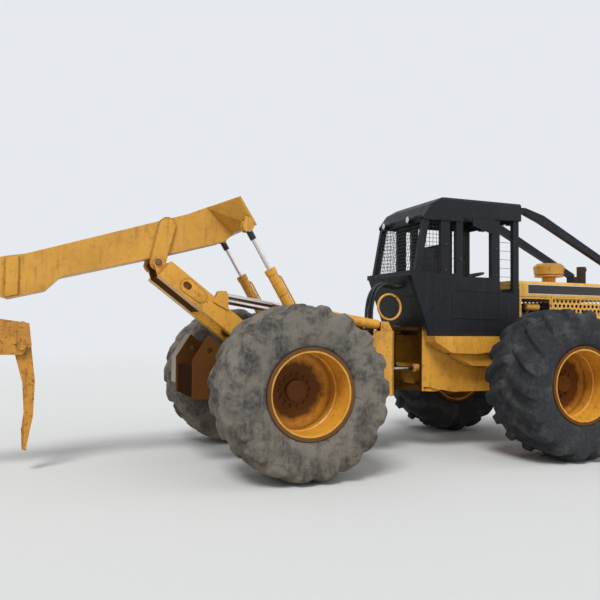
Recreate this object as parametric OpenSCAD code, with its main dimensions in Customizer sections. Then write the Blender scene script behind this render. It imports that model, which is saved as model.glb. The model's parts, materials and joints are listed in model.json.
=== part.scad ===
// Articulated four-wheel grapple skidder.
// X runs forward, Y to the machine's left, Z up from the ground under the tyres.
// Side outlines are [x, z] points from mid-wheelbase; placed() moves them to the row's origin.

/* [Running gear] */
// Distance between the axles
wheelbase = 3300; // [3000:10:3600]
// Lugs on each half of a tread
lug_n = 18; // [16:1:20]
// Height of a worn rear lug
rear_lug_h = 36; // [20:1:45]
// Height of a front lug
front_lug_h = 52; // [30:1:60]
// Radius of a rear tyre, lugs included
rear_tyre_r = 857; // [820:1:880]
// Radius of a front tyre, lugs included
front_tyre_r = 864; // [820:1:880]
// Width of a tyre
tyre_w = 775; // [700:5:820]
// Middle of a tyre from the centre plane
wheel_y = 1217; // [1180:1:1260]
// Radius of the rim's bead seat
bead_r = 406; // [390:1:420]
// Radius of the rim's flange
flange_r = 443; // [430:1:460]
// Width across the rim's flanges
rim_w = 686; // [640:2:720]
// Thickness of the rim's barrel
rim_wall = 14; // [10:1:20]
// Thickness of the rim's flange
flange_t = 14; // [10:1:20]
// Depth of the rear hub face inside the rim's edge
rear_dish = 460; // [400:5:500]
// Depth of the front hub face inside the rim's edge
front_dish = 410; // [360:5:480]
// Number of studs on a hub
stud_n = 14; // [10:1:18]
// Radius of the stud circle
stud_circle_r = 163; // [150:1:175]
// Radius of an axle tube
axle_r = 140; // [120:2:150]
// Radius of the spindle that a wheel turns on
spindle_r = 70; // [60:1:80]

/* [Frames] */
// Pivot between the two frames, ahead of mid-wheelbase
pivot_x = 80; // [60:5:100]
// Half of the gap between the two frames
half_gap = 190; // [180:5:220]
// Outer face of both frames from the centre plane
frame_y = 460; // [440:2:470]
// Thickness of a frame side plate
frame_t = 50; // [40:2:60]
// Cut on the corners that meet when the machine steers
corner_cut = 70; // [60:5:90]
// Radius of the articulation pins
pivot_pin_r = 45; // [35:1:55]
// Thickness of a hinge plate
hinge_t = 40; // [30:2:50]
// Outer face of the tanks beside the cab from the centre plane
tank_y = 690; // [650:5:700]
// Underside of the upper hinge plate
upper_hinge_z = 1460; // [1440:5:1480]
// Top of the lower hinge plate
lower_hinge_z = 770; // [750:5:790]

/* [Arch and boom] */
// Outer face of the arch's legs
arch_y = 400; // [380:2:402]
// Thickness of an arch leg across the machine
arch_leg_t = 150; // [120:5:160]
// Depth of an arch leg in the side view
arch_leg_d = 200; // [180:5:210]
// Half width of the boom
boom_y = 200; // [180:2:205]
// Centre of the boom's cylinders from the centre plane
boom_cyl_y = 540; // [535:1:550]
// Centre of the arch's cylinders from the centre plane
arch_cyl_y = 360; // [352:1:362]
// Radius of a large cylinder's barrel
barrel_r = 58; // [50:1:62]
// Radius of the boom cylinders' rods
boom_rod_r = 26; // [22:1:32]
// Radius of the arch cylinders' rods
arch_rod_r = 32; // [25:1:38]
// Radius of the large pins
pin_r = 32; // [26:1:36]

/* [Cab and hood] */
// Half width of the cab's frame
cab_y = 545; // [520:5:560]
// Top of the cab's roof
roof_z = 3075; // [3000:5:3120]
// Floor of the cab
floor_z = 1400; // [1395:5:1410]
// Sill of the cab's window openings
sill_z = 2100; // [2050:5:2150]
// Side of a square cab post
post_t = 60; // [50:2:70]
// Half width of the hood
hood_y = 450; // [430:5:460]
// Top of the hood
hood_z = 2110; // [2080:5:2150]
// Rounding along the hood's top edges
hood_edge_r = 40; // [20:5:60]
// Radius of the pre-cleaner's bowl
cleaner_r = 205; // [180:5:220]
// Side of the square tubes that turn limbs away
riser_t = 76; // [60:2:80]
// Thickness of the hood's sheets
hood_t = 12; // [8:1:16]

/* [Grapple and blade] */
// Half of the distance between the tongs' pivots
tong_x = 550; // [500:5:600]
// Width of a tong
tong_w = 120; // [100:5:140]
// Width of the blade
blade_w = 2200; // [2000:10:2400]
// Height of the blade
blade_h = 760; // [700:10:800]
// Bottom of the blade above the ground
blade_z = 360; // [340:10:420]

/* [Hidden] */
$fn = 48;

yellow = [0.86, 0.60, 0.10];
black = [0.07, 0.07, 0.08];
rusty = [0.40, 0.22, 0.12];
rubber_c = [0.25, 0.24, 0.23];
chrome_c = [0.75, 0.75, 0.78];

// Running clearance on a pin's radius, and the gap between plates that slide past each other
run = 0.05;
side_gap = 6;

// Axle places
rear_x = -wheelbase / 2;
front_x = wheelbase / 2;
rear_z = rear_tyre_r;
front_z = front_tyre_r;

// Pins in the side view, [x, z]
arch_pin = [rear_x + 50, 1130];
boom_pin = arch_pin + [-1285, 1028];
boom_base_pin = arch_pin + [330, 180];
boom_eye = arch_pin + [-400, 1420];
arch_eye = arch_pin + [-620, 690];
tip_pin = arch_pin + [-3150, 820];
arch_base_pin = [pivot_x - 340, 1510];
blade_pin = [front_x + 990, 900];
blade_base_pin = blade_pin + [150, 215];
blade_eye = blade_pin + [920, -140];
link_pin_z = tip_pin[1] - 160;
head_z = link_pin_z - 230;
tong_z = head_z - 290;

// Steering cylinders' pins in plan, [x, y], and their height
steer_base = [pivot_x + 750, 200];
steer_eye = [pivot_x - 130, 200];
steer_z = 1000;

// Radii of the cylinders' eyes and pins
boom_eye_r = 45;
arch_eye_r = 48;
blade_eye_r = 38;
small_pin_r = 24;
crank_h = 200;
crank_z = tong_z + crank_h;

// Lifting holes in the tail plates
tail_hole = [rear_x - 711, 1229];

// Ends of the whole machine, which set the row's origin
blade_front_x = front_x + 2250;
grapple_x = tip_pin[0];
tong_reach = 130;
machine_rear_x = grapple_x - tong_x - tong_reach;
mid_x = (blade_front_x + machine_rear_x) / 2;

// Arch leg ends on the leg's centre line, and the line's direction
arch_top = arch_pin + [-1210, 935];
leg_dir = unit(arch_pin - arch_top);
leg_n = [-leg_dir[1], leg_dir[0]];

// Foremost cross member of the front frame
nose_x = front_x + 1650;

// Cab: rear of its sill, front face, and underside of the roof
cab_rear_x = pivot_x - 80;
cab_front_x = pivot_x + 1510;
beam_z = roof_z - 115;

// Hood, from behind the cab's front face to the nose guard
hood_x0 = cab_front_x + 20;
hood_x1 = front_x + 1750;

// Hoses in a row behind the cab, and the middle line of one
hose_r = 16;
hose_n = 5;
hose_y = -100;
hose_pitch = 42;
hose_z = 1990;
hose_points = [
  [19.7, 0, hose_z], [-60, 0, hose_z], [-160, 0, 2010], [-250, 0, 1960], [-310, 0, 1860],
    [-340, 0, 1720], [-345, 0, 1580],
  [-345, 0, 1450.3]
];

function unit(v) = v / norm(v);
function mid(a, b) = (a + b) / 2;
function heading(a, b) = atan2(b[1] - a[1], b[0] - a[0]);
function arc(c, r, a0, a1, n = 8) = [for (i = [0 : n]) let (a = a0 + (a1 - a0) * i / n)
  c + r * [cos(a), sin(a)]];

module placed() {
  translate([-mid_x, 0, 0]) children();
}

module both_sides() {
  children();
  mirror([0, 1, 0]) children();
}

// Extrudes an [x, z] outline from y0 to y1
module slab(y0, y1) {
  translate([0, y1, 0]) rotate([90, 0, 0]) linear_extrude(y1 - y0) children();
}

// A shaft across the machine at point p, from y0 to y1
module shaft(p, r, y0, y1) {
  slab(y0, y1) translate(p) circle(r);
}

// Outline of a plate with round ends of radius ra and rb about a and b
module link2d(a, b, ra, rb) {
  d = norm(b - a);
  u = unit(b - a);
  n = [-u[1], u[0]];
  s = (ra - rb) / d;
  c = sqrt(1 - s * s);
  translate(a) circle(ra);
  translate(b) circle(rb);
  polygon([a + ra * (s * u + c * n), b + rb * (s * u + c * n), b + rb * (s * u - c * n),
    a + ra * (s * u - c * n)]);
}

module box(x0, x1, y0, y1, z0, z1) {
  translate([x0, y0, z0]) cube([x1 - x0, y1 - y0, z1 - z0]);
}

// Turns a revolve about Z into one along the line from a towards b, in the plane y
module along(a, b, y) {
  translate([a[0], y, a[1]]) rotate([0, 90 - heading(a, b), 0]) children();
}

// The same in a horizontal plane at height z, for points [x, y]
module along_flat(a, b, z) {
  translate([a[0], a[1], z]) rotate([0, 0, heading(a, b)]) rotate([0, 90, 0]) children();
}

// Hollow barrel with a base eye at 0 and its gland at length l
module barrel(l, r, rod_r, eye_r, eye_w, bore_r) {
  wall = 10;
  neck = eye_w / 2 - 2;
  difference() {
    union() {
      translate([0, eye_w / 2, 0]) rotate([90, 0, 0]) cylinder(h = eye_w, r = eye_r);
      rotate_extrude() polygon([
        [0, eye_r * 0.4], [neck, eye_r * 0.4], [neck, eye_r + 16], [r, eye_r + 16], [r, l - 60],
          [r + 6, l - 60], [r + 6, l], [0, l]
      ]);
    }
    translate([0, 0, eye_r + 30]) cylinder(h = l - eye_r - 30 - 50, r = r - wall);
    translate([0, 0, eye_r + 30]) cylinder(h = l, r = rod_r + run);
    translate([0, eye_w, 0]) rotate([90, 0, 0]) cylinder(h = 2 * eye_w, r = bore_r + run);
  }
}

// Rod with a piston at s0 and a solid eye at s1
module rod(s0, s1, r, rod_r, eye_r, eye_w) {
  wall = 10;
  translate([0, 0, s0]) cylinder(h = 60, r = r - wall - run);
  translate([0, 0, s0]) cylinder(h = s1 - s0 - eye_r * 0.5, r = rod_r);
  translate([0, eye_w / 2, s1]) rotate([90, 0, 0]) cylinder(h = eye_w, r = eye_r);
}

// Lugged tyre about the Y axis, middle at the origin. Its rows of points run round the wheel from one bead
// across the tread to the other. Each lug takes four columns: foot, crest, crest and foot.
module tyre(r, lug_h) {
  half = tyre_w / 2;
  seat = rim_w / 2 - flange_t - 0.3;
  pitch = 360 / lug_n;
  slant = 16;
  crest = 2.6;
  foot = 4.4;
  round_up = 1 / cos(pitch / 4);
  // half tread rows: groove radius, crest radius, groove |y|, crest |y|, share of the slant
  rows = [
    [r - 118, r - 116, half - 12, half - 2, 1],
    [r - lug_h - 14, r - 7, half - 66, half - 56, 0.85],
    [r - lug_h, r / cos(crest), 60, 50, 0]
  ];
  coarse = [[(bead_r + 0.3) * round_up, seat], [(flange_r + 2) * round_up, seat], [r - 244, half]];
  function spin(rad, y, a) = [rad * sin(a), y, rad * cos(a)];
  function lug_angle(j, s) = let (q = floor((j + 2 * s) / 4), m = (j + 2 * s) % 4)
    (q - s / 2) * pitch + [-foot, -crest, crest, foot][m];
  function on_crest(j, s) = let (m = (j + 2 * s) % 4) m == 1 || m == 2;
  function fine_row(row, s, side) = [for (j = [0 : 4 * lug_n - 1]) on_crest(j, s)
    ? spin(row[1], side * row[3], lug_angle(j, s) - slant * row[4])
    : spin(row[0], side * row[2], lug_angle(j, s) - slant * row[4])];
  function coarse_row(c, side) = [for (i = [0 : 2 * lug_n - 1]) spin(c[0], side * c[1], (i - 0.5)
    * pitch / 2 - slant)];
  middle = [for (j = [0 : 4 * lug_n - 1]) spin(r - lug_h * 0.9, 0, (lug_angle(j, 0) + lug_angle(j, 1)) / 2)];
  left = [coarse_row(coarse[0], 1), coarse_row(coarse[1], 1), coarse_row(coarse[2], 1),
    fine_row(rows[0], 0, 1), fine_row(rows[1], 0, 1), fine_row(rows[2], 0, 1)];
  right = [fine_row(rows[2], 1, -1), fine_row(rows[1], 1, -1), fine_row(rows[0], 1, -1),
    coarse_row(coarse[2], -1), coarse_row(coarse[1], -1), coarse_row(coarse[0], -1)];
  rings = concat(left, [middle], right);
  start = [for (i = 0, at = 0; i < len(rings); at = at + len(rings[i]), i = i + 1) at];
  // bands between rings of equal length, the one from the last ring back to the first through the bore,
  // and those from a coarse ring to one with twice its points
  function band(a, b) = let (n = len(rings[a])) [for (i = [0 : n - 1]) each let (k = (i + 1) % n)
    [[start[a] + i, start[a] + k, start[b] + k], [start[a] + i, start[b] + k, start[b] + i]]];
  function spread(c, f, out) = let (n = len(rings[c])) [for (i = [0 : n - 1]) each let (
      k = (i + 1) % n, f0 = start[f] + 2 * i, f1 = f0 + 1, f2 = start[f] + 2 * k,
      fan = [[start[c] + i, f1, f0], [start[c] + i, start[c] + k, f1], [start[c] + k, f2, f1]]
    ) out ? fan : [for (t = fan) [t[0], t[2], t[1]]]];
  even = [0, 1, 3, 4, 5, 6, 7, 8, 10, 11];
  polyhedron(
    points = [for (ring = rings, p = ring) p],
    faces = concat([for (a = even) each band(a, a + 1)], band(12, 0), spread(2, 3, true), spread(10, 9, false)),
    convexity = 6
  );
}

// Rim with its outer side towards +Y
module rim(dish, boss_r, boss_h) {
  out = rim_w / 2;
  face = out - dish;
  inner = bead_r - rim_wall;
  disc_t = 22;
  difference() {
    rotate([-90, 0, 0]) union() {
      rotate_extrude($fn = 96) polygon([
        [inner, -out], [flange_r, -out], [flange_r, -out + flange_t], [bead_r, -out + flange_t],
        [bead_r, out - flange_t], [flange_r, out - flange_t], [flange_r, out], [inner, out],
        [inner, face + 150], [inner - 14, face + 140], [inner, face + 120]
      ]);
      translate([0, 0, face - disc_t]) cylinder(h = disc_t, r = inner + 1);
      translate([0, 0, face - 1]) cylinder(h = boss_h + 1, r1 = boss_r, r2 = boss_r - 12);
      translate([0, 0, face - 1]) cylinder(h = 14, r = stud_circle_r - 20);
      for (i = [0 : stud_n - 1])
        rotate([0, 0, i * 360 / stud_n]) translate([stud_circle_r, 0, face - 1])
          cylinder(h = 26, r = 14, $fn = 16);
    }
    rotate([-90, 0, 0]) translate([0, 0, face - disc_t - 1]) cylinder(h = disc_t + 12, r = spindle_r + run);
  }
}

module wheel_at(x, z, side) {
  placed() translate([x, side * wheel_y, z]) mirror([0, side < 0 ? 1 : 0, 0]) children();
}

// Axle beam with hub faces at |y| = hub_y, its spindles and a centre housing
module axle(hub_y, housing_r, housing_l) {
  both_sides() {
    rotate([-90, 0, 0]) cylinder(h = hub_y - 20, r = axle_r);
    translate([0, hub_y - 130, 0]) rotate([-90, 0, 0]) cylinder(h = 110, r = 195);
    translate([0, hub_y - 21, 0]) rotate([-90, 0, 0]) cylinder(h = 28, r = spindle_r);
  }
  rotate([-90, 0, 0]) rotate_extrude() polygon([[0, -260], [axle_r, -260], [housing_r, -120],
    [housing_r, 120], [axle_r, 260], [0, 260]]);
  translate([-housing_l, 0, 0]) rotate([0, 90, 0]) cylinder(h = 2 * housing_l, r = 90);
}

module front_frame() color(yellow) placed() {
  x0 = pivot_x + half_gap;
  notch = 210;
  notch_z = 1135;
  pin_top = upper_hinge_z + hinge_t;
  trunnion_x = 350;
  difference() {
    union() {
      // side rails with the post behind the cab
      both_sides() slab(frame_y - frame_t, frame_y) polygon([
        [x0 + corner_cut, 780], [650, 720], [front_x - notch, 720], [front_x - notch, notch_z],
          [front_x + notch, notch_z],
        [front_x + notch, 720], [nose_x, 820], [nose_x, floor_z - 5], [x0 + 200, floor_z - 5],
          [x0 + 200, upper_hinge_z],
        [x0 + corner_cut, upper_hinge_z]
      ]);
      both_sides() slab(frame_y - 75, frame_y) polygon([
        [x0 + corner_cut, 780], [480, 740], [480, floor_z - 5], [x0 + 200, upper_hinge_z],
          [x0 + corner_cut, upper_hinge_z]
      ]);
      // plate across behind the cab, between its chamfered corners
      box(x0, x0 + 30, -frame_y + corner_cut + 5, frame_y - corner_cut - 5, 730, pin_top);
      both_sides() translate([0, 0, 780]) linear_extrude(upper_hinge_z - 780) polygon([
        [x0, frame_y - corner_cut - 10], [x0 + corner_cut + 5, frame_y],
          [x0 + corner_cut + 5, frame_y - 60], [x0 + 25, frame_y - corner_cut - 45]
      ]);
      // hinge plates round the pivot
      for (z = [upper_hinge_z, lower_hinge_z - hinge_t]) translate([0, 0, z]) linear_extrude(hinge_t) union() {
        translate([pivot_x, 0]) circle(115);
        polygon([
          [pivot_x, -115], [x0, -frame_y + corner_cut + 60], [x0 + corner_cut + 5, -frame_y + 20],
          [x0 + 200, -frame_y + 20], [x0 + 200, frame_y - 20], [x0 + corner_cut + 5, frame_y - 20],
          [x0, frame_y - corner_cut - 60], [pivot_x, 115]
        ]);
      }
      // pivot pins
      translate([pivot_x, 0, upper_hinge_z - 80]) cylinder(h = 80 + hinge_t + 25, r = pivot_pin_r);
      translate([pivot_x, 0, lower_hinge_z - hinge_t - 15]) cylinder(h = hinge_t + 95, r = pivot_pin_r);
      // cross members that carry the axle's trunnions, the engine and the bumper
      for (s = [-1, 1]) box(front_x + s * trunnion_x - 30, front_x + s * trunnion_x + 30,
        -frame_y + frame_t, frame_y - frame_t, 740, 1150);
      box(nose_x - 30, nose_x, -frame_y + frame_t, frame_y - frame_t, 1140, floor_z - 5);
      box(front_x + 850, front_x + 910, -frame_y + frame_t, frame_y - frame_t, 1150, 1230);
      // belly plates
      box(650, front_x - trunnion_x, -frame_y + frame_t, frame_y - frame_t, 720, 745);
      box(front_x + trunnion_x, front_x + 1250, -frame_y + frame_t, frame_y - frame_t, 760, 785);
      // brackets for the steering cylinders
      for (s = [-1, 1], z = [steer_z - 60, steer_z + 40]) translate([0, s * steer_base[1], z])
        linear_extrude(20) union() {
        translate([steer_base[0], 0]) circle(50);
        translate([steer_base[0], -50]) square([140, 100]);
      }
      box(steer_base[0] + 100, steer_base[0] + 140, -frame_y + frame_t, frame_y - frame_t, 745, 1180);
      for (s = [-1, 1]) translate([steer_base[0], s * steer_base[1], steer_z - 62]) cylinder(h = 124, r = 24);
      // pivots of the blade's arms and of its cylinders
      both_sides() shaft(blade_pin, 55, frame_y - 10, 640);
      both_sides() shaft(blade_pin, 80, frame_y - 10, frame_y + 20);
      both_sides() for (y = [230, 300]) slab(y, y + 20)
        link2d(blade_base_pin, blade_base_pin + [0, 62], 50, 50);
      both_sides() shaft(blade_base_pin, 24, 225, 325);
      box(blade_base_pin[0] - 60, blade_base_pin[0] + 60, -frame_y + frame_t, frame_y - frame_t, 1172, 1230);
    }
    // wide opening behind the cab, and the trunnions' bores
    box(x0 - 1, x0 + 31, -325, 325, 800, 1400);
    for (s = [-1, 1]) translate([front_x + s * trunnion_x - 40, 0, front_z]) rotate([0, 90, 0])
      cylinder(h = 80, r = 90 + run);
  }
}

module front_axle() color(rusty) placed() translate([front_x, 0, front_z])
  axle(wheel_y + rim_w / 2 - front_dish - 22, 235, 378);

module rear_axle() color(rusty) placed() translate([rear_x, 0, rear_z]) {
  axle(wheel_y + rim_w / 2 - rear_dish - 22, 215, 300);
  both_sides() box(-160, 160, frame_y - frame_t, frame_y + 20, -100, 165);
}

// Tanks beside the cab in two tiers
module side_steps() color(yellow) placed() both_sides() {
  slab(frame_y, tank_y)
    polygon([[250, 1395], [262, 1330], [500, 1197], [845, 1186], [1086, 1212], [1184, 1272],
      [1221, 1365], [1221, 1395]]);
  slab(frame_y, tank_y - 70)
    polygon([[584, 1196], [584, 1169], [820, 1043], [1160, 1029], [1147, 1165], [1080, 1213], [1050, 1215]]);
}

// Engine block, with the canister, tank and pipes that show in the open bay
module engine() color([0.16, 0.16, 0.17]) placed() {
  box(front_x + 500, front_x + 1500, -330, 330, 1230, 1840);
  translate([front_x + 200, -345, 1780]) rotate([0, 90, 0]) cylinder(h = 190, r = 48);
  translate([front_x + 110, -300, floor_z + 10]) cylinder(h = 290, r = 90);
  for (p = [[-320, 1780, 22], [-310, 1640, 30], [-270, 1560, 30]])
    translate([front_x + 110, p[0], p[1]]) rotate([0, 90, 0]) cylinder(h = 420, r = p[2], $fn = 24);
  translate([front_x + 110, -320, 1680]) cylinder(h = 110, r = 26, $fn = 24);
}

// Hood's cross section, set in by a wall, from x0 to x1
module hood_form(x0, x1, inset, foot) translate([x0, 0, 0]) rotate([90, 0, 90]) linear_extrude(x1 - x0)
  polygon(concat(
  [[inset - hood_y, foot], [hood_y - inset, foot]],
  arc([hood_y - hood_edge_r, hood_z - hood_edge_r], hood_edge_r - inset, 0, 90),
  arc([hood_edge_r - hood_y, hood_z - hood_edge_r], hood_edge_r - inset, 90, 180)
));

module hood() color(yellow) placed() difference() {
  hood_form(hood_x0, hood_x1, 0, floor_z);
  hood_form(hood_x0 + hood_t, hood_x1 - hood_t, hood_t, floor_z - 1);
  box(front_x + 550, hood_x1 - 70, -hood_y - 1, hood_y + 1, 1700, 1900);
  box(hood_x0 + 90, front_x + 510, -hood_y - 1, hood_y + 1, 1460, 1880);
  box(hood_x1 - hood_t - 1, hood_x1 + 1, -330, 330, 1480, 2020);
}

// Perforated screens behind the hood's side openings
module hood_screens() color([0.5, 0.4, 0.15]) placed() both_sides() {
  x0 = front_x + 530;
  x1 = hood_x1 - 50;
  pitch = 70;
  slab(hood_y - hood_t - 8, hood_y - hood_t) difference() {
    translate([x0, 1690]) square([x1 - x0, 214]);
    for (k = [0 : 2], x = [x0 + 50 + (k % 2) * pitch / 2 : pitch : x1 - 50])
      translate([x, 1735 + k * 62]) circle(24, $fn = 8);
  }
}

module nose_guard() color(yellow) placed() {
  x0 = hood_x1 + 1;
  difference() {
    box(x0, x0 + 60, -hood_y, hood_y, floor_z - 100, hood_z - 20);
    for (z = [1470 : 90 : 1950]) box(x0 - 1, x0 + 61, -360, 360, z, z + 60);
  }
  both_sides() box(nose_x, x0 + 1, 380, 430, floor_z - 100, floor_z - 20);
}

// Pre-cleaner: a stub and a round bowl with a sloped lid
module air_intake() color(yellow) placed() translate([front_x + 895, 0, hood_z]) {
  cylinder(h = 106, r = 90);
  rotate_extrude() polygon([
    [0, 105], [cleaner_r - 12, 105], [cleaner_r - 12, 119], [cleaner_r - 30, 119],
      [cleaner_r - 30, 135], [cleaner_r - 12, 135],
    [cleaner_r, 230], [cleaner_r, 247], [cleaner_r - 45, 286], [0, 286]
  ]);
}

module exhaust_deflector() color([0.25, 0.22, 0.2]) placed() translate([front_x + 1330, -150, hood_z]) {
  rotate_extrude() polygon([[50, 0], [60, 0], [60, 250], [50, 250]]);
  cylinder(h = 10, r = 60);
  translate([70, 0, 250]) rotate([90, 0, 0]) rotate_extrude(angle = 60) translate([-70, 0]) difference() {
    circle(60);
    circle(50);
  }
}

module cab_shell() color(black) placed() {
  y = cab_y;
  t = post_t;
  leg_foot = cab_rear_x + 280;
  wall_foot = upper_hinge_z + hinge_t + 0.3;
  wall_y = y - t + 1;
  posts = [[cab_rear_x + 434, cab_rear_x + 557], [cab_rear_x + 650, cab_rear_x + 744],
    [cab_rear_x + 1167, cab_rear_x + 1290], [cab_rear_x + 1498, cab_rear_x + 1582]];
  // floor, front wall and the low walls of the doorway's side
  box(480, cab_front_x, -y, y, floor_z, floor_z + 30);
  box(cab_front_x - 12, cab_front_x, -y, y, floor_z, sill_z - 100);
  box(leg_foot + 20, posts[1][0] + 1, y - 12, y, floor_z, sill_z);
  box(posts[2][0] + 1, cab_front_x, y - 12, y, floor_z, sill_z - 200);
  // closed side with its ledge, rounded step and ridges
  slab(-y, 12 - y) polygon(concat(
    [[leg_foot + 10, floor_z], [1271, floor_z], [1579, 1560], [cab_front_x, 1600], [cab_front_x, 1935],
      [1340, 1945], [1300, 1975], [1285, 2020]],
    arc([1225, 2060], 60, 0, 90), [[60, 2120]]
  ));
  slab(-y - 8, 1 - y) polygon([[666, 1949], [1289, 1933], [1289, 1949], [666, 1965]]);
  slab(-y - 8, 1 - y) polygon([[573, 1612], [1256, 1602], [1256, 1618], [573, 1628]]);
  slab(-y - 8, 1 - y) polygon([[284, 1693], [712, 2004], [712, 2018], [284, 1707]]);
  // rear legs slant forward towards the floor, with the wall between them
  both_sides() slab(y - t, y) polygon([[cab_rear_x, 2170], [cab_rear_x + t + 10, 2170],
    [leg_foot + 70, floor_z], [leg_foot, floor_z]]);
  slab(-wall_y, wall_y) polygon([[10, 2111], [60, 2111], [285, wall_foot], [245, wall_foot]]);
  // glands of the hoses
  for (i = [0 : hose_n - 1])
    translate([20, hose_y - hose_pitch * i, hose_z]) rotate([0, 90, 0])
      cylinder(h = 60, r = hose_r + 4, $fn = 24);
  // upper rear legs bend forward under the roof
  both_sides() slab(y - t, y) polygon([
    [60, 2110], [140, 2110], [268, roof_z - 285], [400, beam_z - 30], [400, beam_z], [336, beam_z],
      [206, roof_z - 260], [188, roof_z - 285]
  ]);
  box(cab_rear_x, cab_rear_x + t, -y, y, 2110, 2170);
  both_sides() box(cab_rear_x + t, posts[1][0] + 1, y - t, y, 2110, 2150);
  // posts and upper rails
  for (p = posts) both_sides() box(p[0], p[1], y - t, y, floor_z, beam_z);
  both_sides() box(posts[2][0] + 13, cab_front_x, y - t, y, sill_z - 240, sill_z - 180);
  both_sides() box(336, cab_front_x, y - t, y, beam_z - t, beam_z);
  for (x = [340, cab_front_x - t]) box(x, x + t, -y, y, beam_z - t, beam_z);
}

// Roof with round side edges, a bent rear corner, valances and the gusset of the closed side
module cab_roof() color(black) placed() {
  y = cab_y + 15;
  r = 40;
  x1 = cab_front_x + 20;
  difference() {
    intersection() {
      slab(-y, y) polygon([
        [180, roof_z - 285], [180, roof_z - 250], [294, roof_z - 93], [447, roof_z - 7], [540, roof_z],
          [x1, roof_z],
        [x1, roof_z - 225], [735, roof_z - 225], [720, roof_z - 285]
      ]);
      translate([179, 0, 0]) rotate([90, 0, 90]) linear_extrude(x1) polygon(concat(
        [[-y, sill_z], [y, sill_z]], arc([y - r, roof_z - r], r, 0, 90), arc([r - y, roof_z - r], r, 90, 180)
      ));
    }
    slab(-cab_y, cab_y) polygon([[170, sill_z], [170, roof_z - 265], [200, roof_z - 260], [330, beam_z],
      [x1 - 15, beam_z], [x1 - 15, sill_z]]);
  }
  box(180, 205, -cab_y + post_t + 2, cab_y - post_t - 2, roof_z - 305, roof_z - 230);
  slab(-y, -cab_y - 0.5) polygon([[870, roof_z - 220], [886, 2750], [1176, 2660], [1190, roof_z - 220]]);
}

// Bars over the rear side windows and the windows beside the front corners
module cab_screens() color([0.05, 0.05, 0.05]) placed() {
  y = cab_y - post_t / 2;
  top = beam_z - post_t - 0.3;
  rear_x1 = cab_rear_x + 433.7;
  both_sides() {
    for (z = [2190 : 90 : 2750]) box(141 + (z + 10 - 2110) * 128 / 680, rear_x1, y, y + 8, z, z + 10);
    for (x = [cab_rear_x + 300 : 60 : cab_rear_x + 420]) box(x, x + 8, y, y + 8, 2150.3, min(top - 10, 2470 + x));
    for (z = [2010 : 110 : 2870]) box(cab_rear_x + 1290.3, cab_rear_x + 1497.7, y, y + 8, z, z + 8);
    for (x = [1340, 1440]) box(x, x + 8, y, y + 8, sill_z - 179.7, top);
  }
}

module seat() color([0.12, 0.12, 0.12]) placed() {
  slab(-235, 235) link2d([650, floor_z + 590], [620, floor_z + 1120], 58, 50);
  slab(-235, 235) link2d([690, floor_z + 495], [1020, floor_z + 495], 60, 60);
  box(700, 1000, -170, 170, floor_z + 30, floor_z + 450);
}

module steering_wheel() color(black) placed() {
  a = [1400, floor_z + 100];
  b = [1230, 2180];
  along(a, b, 0) {
    cylinder(h = norm(b - a), r = 35);
    translate([0, 0, norm(b - a)]) {
      rotate_extrude() translate([180, 0]) circle(14);
      for (i = [0 : 2]) rotate([0, 90, i * 120]) cylinder(h = 180, r = 12);
    }
  }
  translate([1330, -90, floor_z + 30.3]) cube([150, 180, 480]);
}

// Tubes that turn limbs away, bent down from the roof to their feet on the hood
module limb_risers() color(black) placed() both_sides() {
  y = cab_y - 153;
  x0 = cab_front_x + 20.3;
  foot_x = hood_x1 - 20;
  slab(y, y + riser_t) polygon([
    [x0, roof_z - 115], [x0, roof_z - 30], [1760, roof_z - 28], [2055, 2966], [foot_x, 2310],
      [foot_x, 2222], [1992, 2880], [1730, roof_z - 95]
  ]);
  box(foot_x - 80, foot_x, 335, y + riser_t, hood_z + 30, 2270);
  box(foot_x - 90, foot_x + 10, 330, hood_y - hood_edge_r - 5, hood_z, hood_z + 31);
}

module work_lamps() color([0.8, 0.8, 0.78]) placed() {
  for (y = [-300, 300]) {
    translate([cab_front_x + 20.3, y, 2890]) rotate([0, 90, 0]) cylinder(h = 70, r = 60);
    translate([109.7, y, roof_z - 268]) rotate([0, 90, 0]) cylinder(h = 70, r = 50);
  }
}

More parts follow.
